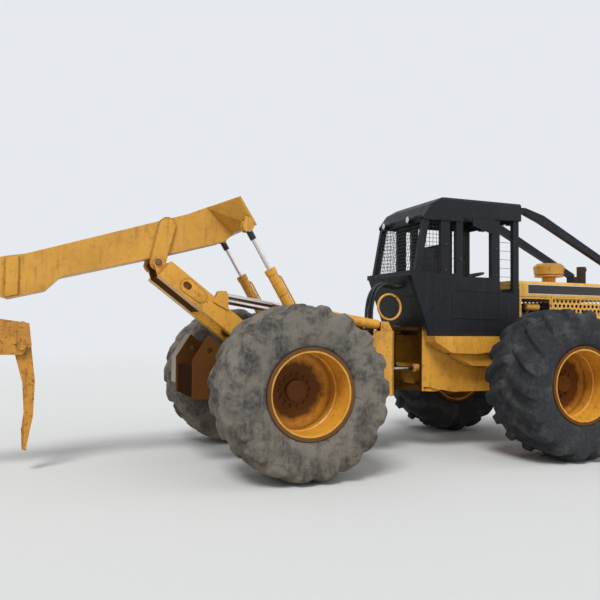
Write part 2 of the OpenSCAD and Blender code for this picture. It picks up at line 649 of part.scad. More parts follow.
module rear_frame() color(yellow) placed() {
  x1 = pivot_x - half_gap;
  box_rear = pivot_x - 510;
  ear_z1 = upper_hinge_z - side_gap;
  ear_z0 = lower_hinge_z + side_gap;
  rail_z = 690;
  difference() {
    union() {
      both_sides() slab(frame_y - frame_t, frame_y) union() {
        polygon([
          [rear_x - 890, 720], [rear_x - 200, rail_z + 30], [rear_x - 160, rear_z + 165],
            [rear_x + 160, rear_z + 165], [rear_x + 200, rail_z],
          [x1 - corner_cut, rail_z], [x1 - corner_cut, 1450], [pivot_x - 410, 1450],
            [pivot_x - 480, 1420], [box_rear - 40, 1300], [box_rear - 160, 1040], [pivot_x - 840, 975],
          [rear_x + 310, 975], [rear_x + 230, 1100], [arch_pin[0] + 80, arch_pin[1] + 90],
            [arch_pin[0] - 80, arch_pin[1] + 95], [rear_x - 400, 1240], [rear_x - 600, 1285],
            [rear_x - 725, 1385], [rear_x - 890, 1130]
        ]);
        translate(arch_pin) circle(105);
      }
      // front box with its chamfered corners
      box(x1 - 30, x1, -frame_y + corner_cut + 5, frame_y - corner_cut - 5, rail_z, 1450);
      both_sides() translate([0, 0, rail_z]) linear_extrude(1450 - rail_z) polygon([
        [x1, frame_y - corner_cut - 10], [x1 - corner_cut - 5, frame_y],
          [x1 - corner_cut - 5, frame_y - 60], [x1 - 25, frame_y - corner_cut - 45]
      ]);
      box(box_rear, box_rear + 25, -frame_y + frame_t, frame_y - frame_t, rail_z, 1300);
      box(pivot_x - 480, x1 - 25, -frame_y + frame_t, frame_y - frame_t, 1425, 1450);
      // hinge ears
      for (z = [ear_z1 - 45, ear_z0]) translate([0, 0, z]) linear_extrude(45) union() {
        translate([pivot_x, 0]) circle(110);
        polygon([[pivot_x, 110], [x1, 240], [x1 - 25, 240], [x1 - 25, -240], [x1, -240], [pivot_x, -110]]);
      }
      // steering cylinder brackets
      for (s = [-1, 1], z = [steer_z - 62, steer_z + 42]) translate([0, s * steer_eye[1], z])
        linear_extrude(20) union() {
        translate([steer_eye[0], 0]) circle(60);
        translate([x1 - 10, -60]) square([steer_eye[0] - x1 + 10, 120]);
      }
      // lugs for the arch cylinders
      both_sides() for (y = [arch_cyl_y - 55, arch_cyl_y + 35]) slab(y, y + 20)
        polygon([arch_base_pin + [-50, -61], arch_base_pin + [110, -61], arch_base_pin + [50, 50],
          arch_base_pin + [-48, 50]]);
      both_sides() shaft(arch_base_pin, pin_r, arch_cyl_y - 60, arch_cyl_y + 60);
      // cross members
      box(pivot_x - 840, pivot_x - 780, -frame_y + frame_t, frame_y - frame_t, rail_z, 970);
      box(rear_x + 370, rear_x + 410, -frame_y + frame_t, frame_y - frame_t, rail_z, 940);
      box(rear_x - 460, rear_x - 420, -frame_y + frame_t, frame_y - frame_t, 740, 1000);
      box(rear_x - 880, rear_x - 840, -frame_y + frame_t, frame_y - frame_t, 730, 1050);
      box(rear_x + 370, box_rear, -frame_y + frame_t, frame_y - frame_t, rail_z, rail_z + 20);
      // guard strip outside the left tail plate
      slab(frame_y - 1, frame_y + 280) polygon([
        [rear_x - 890, 820], [rear_x - 874, 820], [rear_x - 874, 1124], [rear_x - 712, 1374],
          [rear_x - 725, 1385], [rear_x - 890, 1130]
      ]);
      // arch pivot pins
      both_sides() shaft(arch_pin, 50, arch_y - arch_leg_t + 10, frame_y + 25);
    }
    // way through for the steering cylinders' rods
    box(x1 - 31, x1 + 1, -320, 320, steer_z - 44, steer_z + 44);
    translate([pivot_x, 0, rail_z]) cylinder(h = 1450, r = pivot_pin_r + run);
    both_sides() shaft(tail_hole, 32, frame_y - frame_t - 1, frame_y + 1);
  }
}

// Sweeps a tube of radius r along 3-D points, in rings square to Y
module hose(points, r, y, sides = 8) {
  n = len(points);
  ring = [for (i = [0 : n - 1]) let (
    d = unit(points[min(i + 1, n - 1)] - points[max(i - 1, 0)]),
    up = [-d[2], 0, d[0]]
  ) [for (k = [0 : sides - 1]) points[i] + [0, y, 0] + r * cos(k * 360 / sides)
    * [0, 1, 0] + r * sin(k * 360 / sides) * up]];
  polyhedron(
    points = [for (a = ring, p = a) p],
    faces = concat(
      [[for (k = [0 : sides - 1]) k]],
      [for (i = [0 : n - 2], k = [0 : sides - 1]) [i * sides + k, (i + 1) * sides + k, (i + 1)
        * sides + (k + 1) % sides, i * sides + (k + 1) % sides]],
      [[for (k = [sides - 1 : -1 : 0]) (n - 1) * sides + k]]
    )
  );
}

module hoses() color(black) placed()
  for (i = [0 : hose_n - 1]) hose(hose_points, hose_r, hose_y - hose_pitch * i);

module rear_left_tyre() color(rubber_c) wheel_at(rear_x, rear_z, 1) tyre(rear_tyre_r, rear_lug_h);
module rear_right_tyre() color(rubber_c) wheel_at(rear_x, rear_z, -1) tyre(rear_tyre_r, rear_lug_h);
module front_left_tyre() color(rubber_c) wheel_at(front_x, front_z, 1) tyre(front_tyre_r, front_lug_h);
module front_right_tyre() color(rubber_c) wheel_at(front_x, front_z, -1) tyre(front_tyre_r, front_lug_h);
module rear_left_rim() color(yellow) wheel_at(rear_x, rear_z, 1) rim(rear_dish, 116, 60);
module rear_right_rim() color(yellow) wheel_at(rear_x, rear_z, -1) rim(rear_dish, 116, 60);
module front_left_rim() color(yellow) wheel_at(front_x, front_z, 1) rim(front_dish, 110, 90);
module front_right_rim() color(yellow) wheel_at(front_x, front_z, -1) rim(front_dish, 110, 90);

module arch() color(yellow) placed() {
  h = arch_leg_d / 2;
  y0 = arch_y - arch_leg_t;
  top_a = arch_top + h * leg_n;
  top_b = arch_top - h * leg_n;
  foot_a = arch_pin + h * leg_n;
  foot_b = arch_pin - h * leg_n;
  slot = arch_top + [210, -155];
  plate_end = arch_top + 560 * leg_dir - h * leg_n;
  difference() {
    union() {
      both_sides() slab(y0, arch_y) union() {
        polygon([top_a, top_b, foot_b, foot_a]);
        translate(arch_pin) circle(h);
      }
      // arms that carry the boom cylinders
      both_sides() slab(arch_y - 80, arch_y) link2d(arch_pin, boom_base_pin, 90, 65);
      both_sides() shaft(boom_base_pin, 52, arch_y - 80, boom_cyl_y - 42);
      both_sides() shaft(boom_base_pin, 40, arch_y - 80, boom_cyl_y + 50);
      both_sides() shaft(boom_base_pin, 58, boom_cyl_y + 42, boom_cyl_y + 60);
      // plate across the underside of the upper half, cap plate and cross tube
      slab(-y0 - 1, y0 + 1) polygon([top_b, top_b + 25 * leg_n, plate_end + 25 * leg_n, plate_end]);
      slab(-arch_y, arch_y) polygon([top_a - 28 * leg_dir, top_b - 28 * leg_dir, top_b, top_a]);
      shaft(mid(arch_top, arch_pin) + 260 * leg_dir, 70, -y0 - 1, y0 + 1);
      // doubler round the slot
      both_sides() slab(arch_y - 1, arch_y + 4) link2d(slot, slot + 185 * leg_dir, 75, 60);
      // boom clevis on the cap
      both_sides() for (y = [boom_y - 62, boom_y + 30]) slab(y, y + 26) polygon([
        boom_pin + 55 * leg_n, arch_top - 27 * leg_dir + 75 * leg_n,
          arch_top - 27 * leg_dir - 90 * leg_n, boom_pin - 55 * leg_n,
        boom_pin - 45 * leg_n - 40 * leg_dir, boom_pin + 45 * leg_n - 40 * leg_dir
      ]);
      both_sides() shaft(boom_pin, pin_r, boom_y - 70, boom_y + 70);
      // lugs for the arch cylinders' rods
      both_sides() for (y = [arch_cyl_y - 55, arch_cyl_y + 35]) slab(y, y + 20) polygon([
        arch_eye + [-62, 0], arch_eye + [-40, 45], arch_eye + [40, 45], arch_eye + [62, 0],
        arch_eye + 150 * leg_dir - 90 * leg_n, arch_eye - 40 * leg_dir - 120 * leg_n
      ]);
    }
    both_sides() shaft(arch_pin, 50 + run, -1, arch_y + 1);
    both_sides() slab(arch_y - 60, arch_y + 5) link2d(slot - 15 * leg_dir, slot + 15 * leg_dir, 35, 35);
  }
}

module boom() color(yellow) placed() {
  difference() {
    union() {
      slab(-boom_y, boom_y) translate([arch_pin[0], 0]) polygon([
        [-2900, 2125], [-2770, 2160], [-2590, 2190], [-970, 2700], [-700, 2815],
        [-460, 2500], [-550, 2430], [-1190, 2250], [-2260, 1970], [-2400, 1830], [-2760, 1740], [-2900, 1790]
      ]);
      // flared head
      hull() {
        slab(-boom_y, boom_y) translate([arch_pin[0], 0]) polygon([[-750, 2780], [-740, 2785],
          [-460, 2525], [-470, 2520]]);
        slab(-boom_cyl_y - 55, boom_cyl_y + 55) translate([arch_pin[0], 0]) polygon([[-510, 2855],
          [-490, 2860], [-310, 2570], [-330, 2560]]);
      }
      // leg plates down to the pivot
      both_sides() slab(boom_y - 28, boom_y + 24) link2d(arch_pin + [-1190, 1430], boom_pin, 85, 78);
      // ears at the tip
      both_sides() slab(105, 165) link2d(arch_pin + [-2860, 820], tip_pin, 150, 95);
      both_sides() shaft(tip_pin, pin_r, 80, 180);
      // lugs for the boom cylinders' rods
      both_sides() for (y = [boom_cyl_y - 62, boom_cyl_y + 40]) slab(y, y + 22)
        polygon([boom_eye + [-60, 0], boom_eye + [-30, 110], boom_eye + [60, 90], boom_eye + [60, -10],
          boom_eye + [30, -55], boom_eye + [-30, -55]]);
      both_sides() slab(boom_y - 1, boom_y + 16) translate([arch_pin[0], 0]) polygon([[-2770, 1755],
        [-2770, 2145], [-2650, 2165], [-2650, 1785]]);
    }
    both_sides() shaft(boom_pin, pin_r + run, 0, boom_y + 40);
    // room for the rods' eyes and for the rods as they swing
    both_sides() slab(boom_cyl_y - 40, boom_cyl_y + 40) union() {
      translate(boom_eye) circle(boom_eye_r + 50);
      polygon([boom_eye + [-95, 0], boom_eye + [-95, -300], boom_eye + [300, -300], boom_eye + [95, 0]]);
    }
    // open front of the head
    hull() {
      slab(-boom_y + 20, boom_y - 20) translate([arch_pin[0], 0]) polygon([[-640, 2745], [-630, 2745],
        [-460, 2560], [-470, 2555]]);
      slab(-boom_cyl_y - 35, boom_cyl_y + 35) translate([arch_pin[0], 0]) polygon([[-485, 2830],
        [-400, 2880], [-280, 2620], [-355, 2600]]);
    }
  }
}

arch_len = norm(arch_eye - arch_base_pin);
boom_len = norm(boom_eye - boom_base_pin);

module arch_cylinder_barrels() color(yellow) placed() both_sides()
  along(arch_base_pin, arch_eye, arch_cyl_y) barrel(arch_len - 834, barrel_r, arch_rod_r, 55, 66, pin_r);
module arch_cylinder_rods() color(chrome_c) placed() both_sides()
  along(arch_base_pin, arch_eye, arch_cyl_y) rod(arch_len - 1290, arch_len, barrel_r, arch_rod_r, 48, 62);
module boom_cylinder_barrels() color(yellow) placed() both_sides()
  along(boom_base_pin, boom_eye, boom_cyl_y) barrel(926, barrel_r, boom_rod_r, 60, 78, 40);
module boom_cylinder_rods() color(chrome_c) placed() both_sides()
  along(boom_base_pin, boom_eye, boom_cyl_y)
    rod(boom_len - 970, boom_len, barrel_r, boom_rod_r, boom_eye_r, 72);

module boom_link() color(rusty) placed() difference() {
  union() {
    shaft(tip_pin, 85, -98, 98);
    box(grapple_x - 60, grapple_x + 60, -50, 50, link_pin_z - 20, tip_pin[1]);
    translate([grapple_x - 60, 0, link_pin_z]) rotate([0, 90, 0]) cylinder(h = 120, r = 60);
  }
  shaft(tip_pin, pin_r + run, -100, 100);
  translate([grapple_x - 130, 0, link_pin_z]) rotate([0, 90, 0]) cylinder(h = 260, r = pin_r + run);
}

module grapple_hanger() color(yellow) placed() {
  for (x = [-95, 67]) {
    translate([grapple_x + x, 0, link_pin_z]) rotate([0, 90, 0]) cylinder(h = 28, r = 60);
    box(grapple_x + x, grapple_x + x + 28, -60, 60, head_z + 120, link_pin_z);
  }
  translate([grapple_x - 100, 0, link_pin_z]) rotate([0, 90, 0]) cylinder(h = 200, r = pin_r);
  translate([grapple_x, 0, head_z + 100]) cylinder(h = 40, r = 150);
  translate([grapple_x, 0, head_z - 30]) cylinder(h = 131, r = 60);
}

module grapple_head() color(yellow) placed() difference() {
  union() {
    both_sides() slab(75, 100) union() {
      polygon([
        [grapple_x - tong_x, tong_z - 90], [grapple_x - tong_x - 90, tong_z],
          [grapple_x - tong_x - 60, head_z - 60], [grapple_x - 200, head_z],
        [grapple_x + 200, head_z], [grapple_x + tong_x + 60, head_z - 60],
          [grapple_x + tong_x + 90, tong_z], [grapple_x + tong_x, tong_z - 90]
      ]);
    }
    box(grapple_x - 200, grapple_x + 200, -100, 100, head_z - 20, head_z + 15);
    translate([grapple_x, 0, head_z]) cylinder(h = 94, r = 140);
    for (x = [-1, 1]) shaft([grapple_x + x * tong_x, tong_z], 42, -125, 125);
    box(grapple_x - 250, grapple_x + 250, -76, 76, tong_z - 90, tong_z - 60);
  }
  translate([grapple_x, 0, head_z - 50]) cylinder(h = 200, r = 60 + run);
}

// Tong on the +X side of the head
module tong(pinned) difference() {
  p = [tong_x, tong_z];
  union() {
    slab(-tong_w / 2, tong_w / 2) union() {
      translate(p) circle(85);
      polygon([p + [-60, 60], p + [85, 0], [tong_x + tong_reach, 900], [tong_x + tong_reach - 10, 560],
        [tong_x + 90, 400], [tong_x + 60, 215], [tong_x + 20, 230],
        [tong_x + 10, 430], [tong_x + 30, 600], [tong_x + 10, 900], p + [-80, -30]]);
    }
    for (s = [-1, 1]) translate([0, s * 59, 0]) slab(-9, 9) link2d(p, p + [0, crank_h], 70, 45);
    if (pinned) shaft(p + [0, crank_h], 24, -72, 72);
    else both_sides() shaft(p + [0, crank_h], 24, 60, 72);
  }
  shaft(p, 42 + run, -100, 100);
}
module front_tong() color(yellow) placed() translate([grapple_x, 0, 0]) tong(false);
module rear_tong() color(yellow) placed() translate([grapple_x, 0, 0]) mirror([1, 0, 0]) tong(true);

module tong_cylinder_barrel() color(yellow) placed()
  along([grapple_x - tong_x, crank_z], [grapple_x + tong_x, crank_z], 0) barrel(780, 45, 22, 40, 60, 24);
module tong_cylinder_rod() color(chrome_c) placed()
  along([grapple_x - tong_x, crank_z], [grapple_x + tong_x, crank_z], 0) rod(430, 2 * tong_x, 45, 22, 34, 60);

module blade() color(yellow) placed() difference() {
  back = blade_front_x - 200;
  union() {
    // curved mouldboard
    intersection() {
      slab(-blade_w / 2, blade_w / 2) difference() {
        translate([blade_front_x + 700, blade_z + blade_h * 0.55]) circle(900, $fn = 96);
        translate([blade_front_x + 700, blade_z + blade_h * 0.55]) circle(870, $fn = 96);
      }
      box(back - 200, blade_front_x, -blade_w / 2, blade_w / 2, blade_z, blade_z + blade_h);
    }
    box(back, blade_front_x, -blade_w / 2, blade_w / 2, blade_z - 20, blade_z + 20);
    // arms back to the pivots
    both_sides() slab(525, 595) union() {
      link2d(blade_pin, [back - 60, 700], 90, 110);
      translate([back - 100, 560]) square([130, 240]);
    }
    box(back - 100, back + 20, -640, 640, 640, 800);
    both_sides() for (y = [225, 305]) slab(y, y + 20) link2d(blade_eye, blade_eye + [100, 0], 50, 50);
  }
  both_sides() shaft(blade_pin, 55 + run, 500, 700);
}

blade_len = norm(blade_eye - blade_base_pin);
module blade_cylinder_barrels() color(yellow) placed() both_sides()
  along(blade_base_pin, blade_eye, 275) barrel(620, 45, 24, 40, 46, 24);
module blade_cylinder_rods() color(chrome_c) placed() both_sides()
  along(blade_base_pin, blade_eye, 275) rod(blade_len - 620, blade_len, 45, 24, 38, 46);

module steering_barrel() along_flat(steer_base, steer_eye, steer_z) rotate([0, 0, 90])
  barrel(560, 42, 20, 38, 70, 24);
module steering_rod() along_flat(steer_base, steer_eye, steer_z) rotate([0, 0, 90])
  rod(290, norm(steer_eye - steer_base), 42, 20, 32, 70);

module left_steering_barrel() color(yellow) placed() steering_barrel();
module left_steering_rod() color(chrome_c) placed() steering_rod();
module right_steering_barrel() color(yellow) placed() mirror([0, 1, 0]) steering_barrel();
module right_steering_rod() color(chrome_c) placed() mirror([0, 1, 0]) steering_rod();

front_frame();
front_axle();
side_steps();
engine();
hood();
hood_screens();
nose_guard();
air_intake();
exhaust_deflector();
cab_shell();
cab_roof();
cab_screens();
seat();
steering_wheel();
limb_risers();
work_lamps();
rear_frame();
rear_axle();
hoses();
rear_left_tyre();
rear_left_rim();
rear_right_tyre();
rear_right_rim();
front_left_tyre();
front_left_rim();
front_right_tyre();
front_right_rim();
arch();
boom();
arch_cylinder_barrels();
arch_cylinder_rods();
boom_cylinder_barrels();
boom_cylinder_rods();
boom_link();
grapple_hanger();
grapple_head();
rear_tong();
front_tong();
tong_cylinder_barrel();
tong_cylinder_rod();
blade();
blade_cylinder_barrels();
blade_cylinder_rods();
left_steering_barrel();
left_steering_rod();
right_steering_barrel();
right_steering_rod();
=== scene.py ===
"""Looks of the articulated grapple skidder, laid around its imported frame."""

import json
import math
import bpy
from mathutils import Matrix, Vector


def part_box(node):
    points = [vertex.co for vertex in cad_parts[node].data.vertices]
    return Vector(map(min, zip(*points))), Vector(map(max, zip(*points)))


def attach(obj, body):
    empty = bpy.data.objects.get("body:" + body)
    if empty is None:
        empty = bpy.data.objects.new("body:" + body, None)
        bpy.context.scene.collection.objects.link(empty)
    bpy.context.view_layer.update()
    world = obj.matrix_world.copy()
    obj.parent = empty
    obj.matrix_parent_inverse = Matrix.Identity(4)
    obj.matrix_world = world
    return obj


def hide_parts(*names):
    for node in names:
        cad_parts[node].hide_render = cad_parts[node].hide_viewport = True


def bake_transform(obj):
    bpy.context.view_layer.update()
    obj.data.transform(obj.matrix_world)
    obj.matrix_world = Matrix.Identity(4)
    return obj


bl_info = {
    "name": "Grapple Skidder",
    "version": (1, 0, 0),
    "blender": (4, 5, 0),
    "location": "View3D > Sidebar > Skidder",
    "description": "Finishes, tyres, screens, hoses and fasteners of an articulated grapple skidder",
    "category": "Object",
}

import bmesh
import bpy
import numpy as np
from mathutils import Matrix, Vector, noise

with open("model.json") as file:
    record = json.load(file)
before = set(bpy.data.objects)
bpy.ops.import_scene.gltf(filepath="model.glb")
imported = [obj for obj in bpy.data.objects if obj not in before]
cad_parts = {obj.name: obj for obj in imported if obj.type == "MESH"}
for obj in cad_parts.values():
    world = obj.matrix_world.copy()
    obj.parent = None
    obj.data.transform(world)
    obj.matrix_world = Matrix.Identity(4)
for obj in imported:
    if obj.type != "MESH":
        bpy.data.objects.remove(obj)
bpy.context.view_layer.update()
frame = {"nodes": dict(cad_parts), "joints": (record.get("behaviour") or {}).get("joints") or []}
NODES = frame["nodes"]
PINS = {j["name"]: Vector(j["pos_m"]) for j in frame["joints"] if "pos_m" in j}
MID_X = (PINS["front_left_wheel_spin"].x + PINS["rear_left_wheel_spin"].x) / 2
MM = 0.001
WHEELS = ("rear_left", "rear_right", "front_left", "front_right")
SIDES = ((-1, "right"), (1, "left"))
# The camera that took the photograph: lengths in its pixels, place in metres from mid-wheelbase, turns in radians
FOCAL_PX, PHOTO_PX, SENSOR_MM = 668.709, 600, 36
CAMERA_PLACE = (-4.0671, -7.3749, 1.4885)
YAW, PITCH, ROLL = -0.3744, 0.0401, 0.0101


def at(x, y, z):
    """A point from millimetres ahead of mid-wheelbase, to the left and above the ground."""
    return Vector((MID_X + x * MM, y * MM, z * MM))


def linear(code):
    """An sRGB hex colour as linear red, green, blue and alpha."""
    parts = [int(code[i:i + 2], 16) / 255 for i in (1, 3, 5)]
    return tuple(c / 12.92 if c <= 0.04045 else ((c + 0.055) / 1.055) ** 2.4 for c in parts) + (1.0,)


def per_metre(millimetres):
    """The texture scale whose features are this large."""
    return 1000 / millimetres


def add(tree, kind, inputs=None, **settings):
    """Adds one node; an input takes a value or another node's output socket."""
    node = tree.nodes.new("ShaderNode" + kind)
    for name, value in settings.items():
        setattr(node, name, value)
    for name, value in (inputs or {}).items():
        if isinstance(value, bpy.types.NodeSocket):
            tree.links.new(value, node.inputs[name])
        else:
            node.inputs[name].default_value = value
    return node


def new_material(name):
    """An empty material, its node tree and its shader."""
    material = bpy.data.materials.new(name)
    material.use_nodes = True
    tree = material.node_tree
    tree.nodes.clear()
    shader = add(tree, "BsdfPrincipled")
    output = add(tree, "OutputMaterial", {"Surface": shader.outputs[0]})
    output.is_active_output = True
    return material, tree, shader


def noise_field(tree, coords, size_mm, detail, roughness=0.5):
    """A noise whose lumps are this large."""
    return add(tree, "TexNoise", {"Vector": coords, "Scale": per_metre(size_mm), "Detail": detail,
                                  "Roughness": roughness}).outputs[0]


def reckon(tree, operation, a, b):
    """A sum, product or comparison of two values or sockets."""
    return add(tree, "Math", {0: a, 1: b}, operation=operation).outputs[0]


def ramp(tree, value, start, stop, low=0.0, high=1.0):
    """A value carried from the span start to stop over to the span low to high."""
    return add(tree, "MapRange", {0: value, 1: start, 2: stop, 3: low, 4: high}).outputs[0]


def patches(tree, coords, size_mm, low, high, detail=6.0, roughness=0.6, stretch=None):
    """A factor that rises from 0 to 1 where a noise of this size passes from low to high."""
    if stretch:
        coords = add(tree, "Mapping", {"Vector": coords, "Scale": stretch}).outputs[0]
    field = noise_field(tree, coords, size_mm, detail, roughness)
    return add(tree, "MapRange", {0: field, 1: low, 2: high}, interpolation_type="SMOOTHSTEP").outputs[0]


def layered(tree, below, above, factor, strength=1.0):
    """One colour, a socket or a hex code, laid over another where the factor is high."""
    below, above = (linear(c) if isinstance(c, str) else c for c in (below, above))
    amount = add(tree, "Math", {0: factor, 1: strength}, operation="MULTIPLY", use_clamp=True).outputs[0]
    return add(tree, "Mix", {0: amount, 6: below, 7: above}, data_type="RGBA").outputs[2]


def corner_shade_and_grime(tree, reach_mm):
    """A factor that rises in corners from ambient occlusion: painted shade, and the grime that gathers there."""
    shade = add(tree, "AmbientOcclusion", {"Distance": reach_mm * MM}, samples=6)
    return ramp(tree, shade.outputs["AO"], 0.85, 0.35)


def surface(tree, shader, colour, roughness, height=None, strength=0.0, depth_mm=0.0):
    """Gives a shader its colour, its roughness and the relief of its skin."""
    tree.links.new(colour, shader.inputs["Base Color"])
    if isinstance(roughness, bpy.types.NodeSocket):
        tree.links.new(roughness, shader.inputs["Roughness"])
    else:
        shader.inputs["Roughness"].default_value = roughness
    if height is not None:
        bump = add(tree, "Bump", {"Height": height, "Strength": strength, "Distance": depth_mm * MM})
        tree.links.new(bump.outputs[0], shader.inputs["Normal"])


def enamel(name, paint, stain, grime_and_shade, rust, wear=0.5, rough=0.42, rust_field=None, covers=(), shine=0.5):
    """Brushed and sprayed machine enamel over steel: satin, stained in broad patches, streaked by rain, chipped to
    rust in specks, darkened in its corners by painted shade and grime, and dull under its covers of rust, dirt and
    painted shade."""
    material, tree, shader = new_material(name)
    coords = add(tree, "TexCoord").outputs["Object"]
    broad = patches(tree, coords, 420, 0.42, 0.72, 4.0)
    fine = patches(tree, coords, 70, 0.50, 0.72, 8.0, 0.68)
    streaks = patches(tree, coords, 260, 0.52, 0.74, 5.0, 0.6, (6.0, 6.0, 0.7))
    chips = patches(tree, coords, 34, 0.66 - 0.10 * wear, 0.70 - 0.10 * wear, 10.0, 0.75)
    colour = layered(tree, paint, stain, broad, 0.75)
    colour = layered(tree, colour, grime_and_shade, streaks, 0.35 + 0.3 * wear)
    colour = layered(tree, colour, grime_and_shade, fine, 0.3 + 0.3 * wear)
    colour = layered(tree, colour, rust, chips, 0.85)
    dull = chips
    # covers: rust, dirt, and painted shade on the arch's underside and in the front frame's gap
    for cover, field in [(rust, rust_field), *covers] if rust_field else covers:
        amount = field(tree, coords)
        colour = layered(tree, colour, cover, amount, 0.93)
        dull = reckon(tree, "MAXIMUM", dull, amount)
    # painted shade and grime: the grime colour laid into corners by the ambient-occlusion mask
    colour = layered(tree, colour, grime_and_shade, corner_shade_and_grime(tree, 70), 0.75)
    orange_peel = reckon(tree, "MULTIPLY", noise_field(tree, coords, 9, 3.0), 0.25)
    gloss = ramp(tree, fine, 0.0, 1.0, rough, min(0.95, rough + 0.35))
    tree.links.new(ramp(tree, dull, 0.0, 1.0, shine, 0.0), shader.inputs["Specular IOR Level"])
    surface(tree, shader, colour, gloss, reckon(tree, "SUBTRACT", orange_peel, chips), 0.25, 2)
    return material


def behind(x_full, x_none):
    """A field of rust that thickens from one place along the machine to another."""
    def field(tree, coords):
        along = add(tree, "SeparateXYZ", {0: coords}).outputs[0]
        near = ramp(tree, along, MID_X + x_none * MM, MID_X + x_full * MM)
        return ramp(tree, reckon(tree, "ADD", near, noise_field(tree, coords, 160, 9.0, 0.7)), 0.85, 1.15)
    return field


def across(full, none, bite=0.35, centred=True):
    """A field that covers where the distance across the machine is near full, with a ragged edge towards none."""
    def field(tree, coords):
        value = add(tree, "SeparateXYZ", {0: coords}).outputs[1]
        if centred:
            value = add(tree, "Math", {0: value}, operation="ABSOLUTE").outputs[0]
        near = ramp(tree, value, none * MM, full * MM)
        loss = reckon(tree, "MULTIPLY", noise_field(tree, coords, 90, 8.0, 0.7), bite)
        return ramp(tree, reckon(tree, "SUBTRACT", near, loss), 0.3, 0.6)
    return field


def about_hub(centre, inner_m, outer_m):
    """A field of brown dirt that covers a wheel's disc, thins out over its barrel and comes back on its lip."""
    def field(tree, coords):
        offset = add(tree, "VectorMath", {0: coords, 1: centre}, operation="SUBTRACT").outputs[0]
        flat = add(tree, "VectorMath", {0: offset, 1: (1.0, 0.0, 1.0)}, operation="MULTIPLY").outputs[0]
        radius = add(tree, "VectorMath", {0: flat}, operation="LENGTH").outputs["Value"]
        disc, lip = ramp(tree, radius, outer_m, inner_m), ramp(tree, radius, 0.398, 0.414)
        cover = reckon(tree, "MAXIMUM", disc, lip)
        return ramp(tree, reckon(tree, "ADD", cover, noise_field(tree, coords, 90, 8.0, 0.65)), 0.75, 1.25)
    return field


def dusty_rubber(name, rubber, dust, mud, dust_amount):
    """Cured tyre rubber, matt and dried out: dust lies on it in patches, scuffs stay dark, and painted shade darkens
    its corners.
    """
    material, tree, shader = new_material(name)
    coords = add(tree, "TexCoord").outputs["Object"]
    broad = patches(tree, coords, 230, 0.56 - 0.2 * dust_amount, 0.72 - 0.15 * dust_amount, 6.0, 0.62)
    fine = patches(tree, coords, 36, 0.40, 0.66, 9.0, 0.72)
    scuffs = patches(tree, coords, 120, 0.55, 0.68, 7.0, 0.7, (1.0, 1.0, 2.6))
    streaks = patches(tree, coords, 130, 0.46, 0.70, 7.0, 0.65, (4.0, 4.0, 0.5))
    splash = ramp(tree, add(tree, "SeparateXYZ", {0: coords}).outputs[2], 0.9, 0.05)
    colour = layered(tree, rubber, dust, broad, 0.8)
    colour = layered(tree, colour, dust, fine, 0.35 * dust_amount + 0.15)
    colour = layered(tree, colour, mud, splash, 0.30 * dust_amount)
    colour = layered(tree, colour, dust, streaks, 0.55 * dust_amount)
    colour = layered(tree, colour, rubber, scuffs, 0.55)
    # painted shade: the bare rubber colour laid back over the dust in corners by ambient occlusion
    colour = layered(tree, colour, rubber, corner_shade_and_grime(tree, 60), 0.35)
    shader.inputs["Specular IOR Level"].default_value = 0.3
    surface(tree, shader, colour, 0.88, noise_field(tree, coords, 14, 8.0, 0.7), 0.55, 4)
    return material


def rusted_casting(name, iron, rust, grime_and_shade):
    """Bare cast iron gone to rust: pitted, brown, no shine left, darkened in its corners by painted shade and grime.
    """
    material, tree, shader = new_material(name)
    coords = add(tree, "TexCoord").outputs["Object"]
    colour = layered(tree, iron, rust, patches(tree, coords, 110, 0.38, 0.62, 9.0, 0.7))
    colour = layered(tree, colour, grime_and_shade, patches(tree, coords, 40, 0.55, 0.7, 8.0), 0.7)
    # painted shade and grime: darker in corners by ambient occlusion
    colour = layered(tree, colour, grime_and_shade, corner_shade_and_grime(tree, 50), 0.6)
    surface(tree, shader, colour, 0.82, noise_field(tree, coords, 7, 6.0, 0.7), 0.5, 2)
    return material


def polished_rod(name, metal, spots):
    """Hard chrome on a ground rod: mirror bright, with brown specks where it has stood out in the rain."""
    material, tree, shader = new_material(name)
    coords = add(tree, "TexCoord").outputs["Object"]
    film = patches(tree, coords, 180, 0.45, 0.75, 4.0)
    colour = layered(tree, metal, spots, patches(tree, coords, 12, 0.62, 0.70, 6.0, 0.7), 0.8)
    colour = layered(tree, colour, spots, film, 0.25)
    shader.inputs["Metallic"].default_value = 1.0
    surface(tree, shader, colour, ramp(tree, film, 0.0, 1.0, 0.16, 0.42))
    return material


def moulded(name, colour_hex, dust_hex, rough, grain_mm, dust=0.4):
    """Moulded rubber, vinyl or plastic: an even grain, dulled by dust that settles in patches."""
    material, tree, shader = new_material(name)
    coords = add(tree, "TexCoord").outputs["Object"]
    colour = layered(tree, colour_hex, dust_hex, patches(tree, coords, 120, 0.4, 0.75, 7.0), dust)
    grain = add(tree, "TexVoronoi", {"Vector": coords, "Scale": per_metre(grain_mm)}).outputs["Distance"]
    surface(tree, shader, colour, rough, grain, 0.3, 0.6)
    return material


def lens_glass(name, tint):
    """Pressed lamp glass with vertical flutes, seen over a bright reflector."""
    material, tree, shader = new_material(name)
    coords = add(tree, "TexCoord").outputs["Object"]
    flutes = add(tree, "TexWave", {"Vector": coords, "Scale": per_metre(9) / 6, "Distortion": 0.4},
                 bands_direction="Y").outputs["Fac"]
    colour = layered(tree, tint, "#8E9295", patches(tree, coords, 60, 0.45, 0.7), 0.4)
    shader.inputs["Coat Weight"].default_value = 1.0
    surface(tree, shader, colour, 0.12, flutes, 0.5, 1.5)
    return material


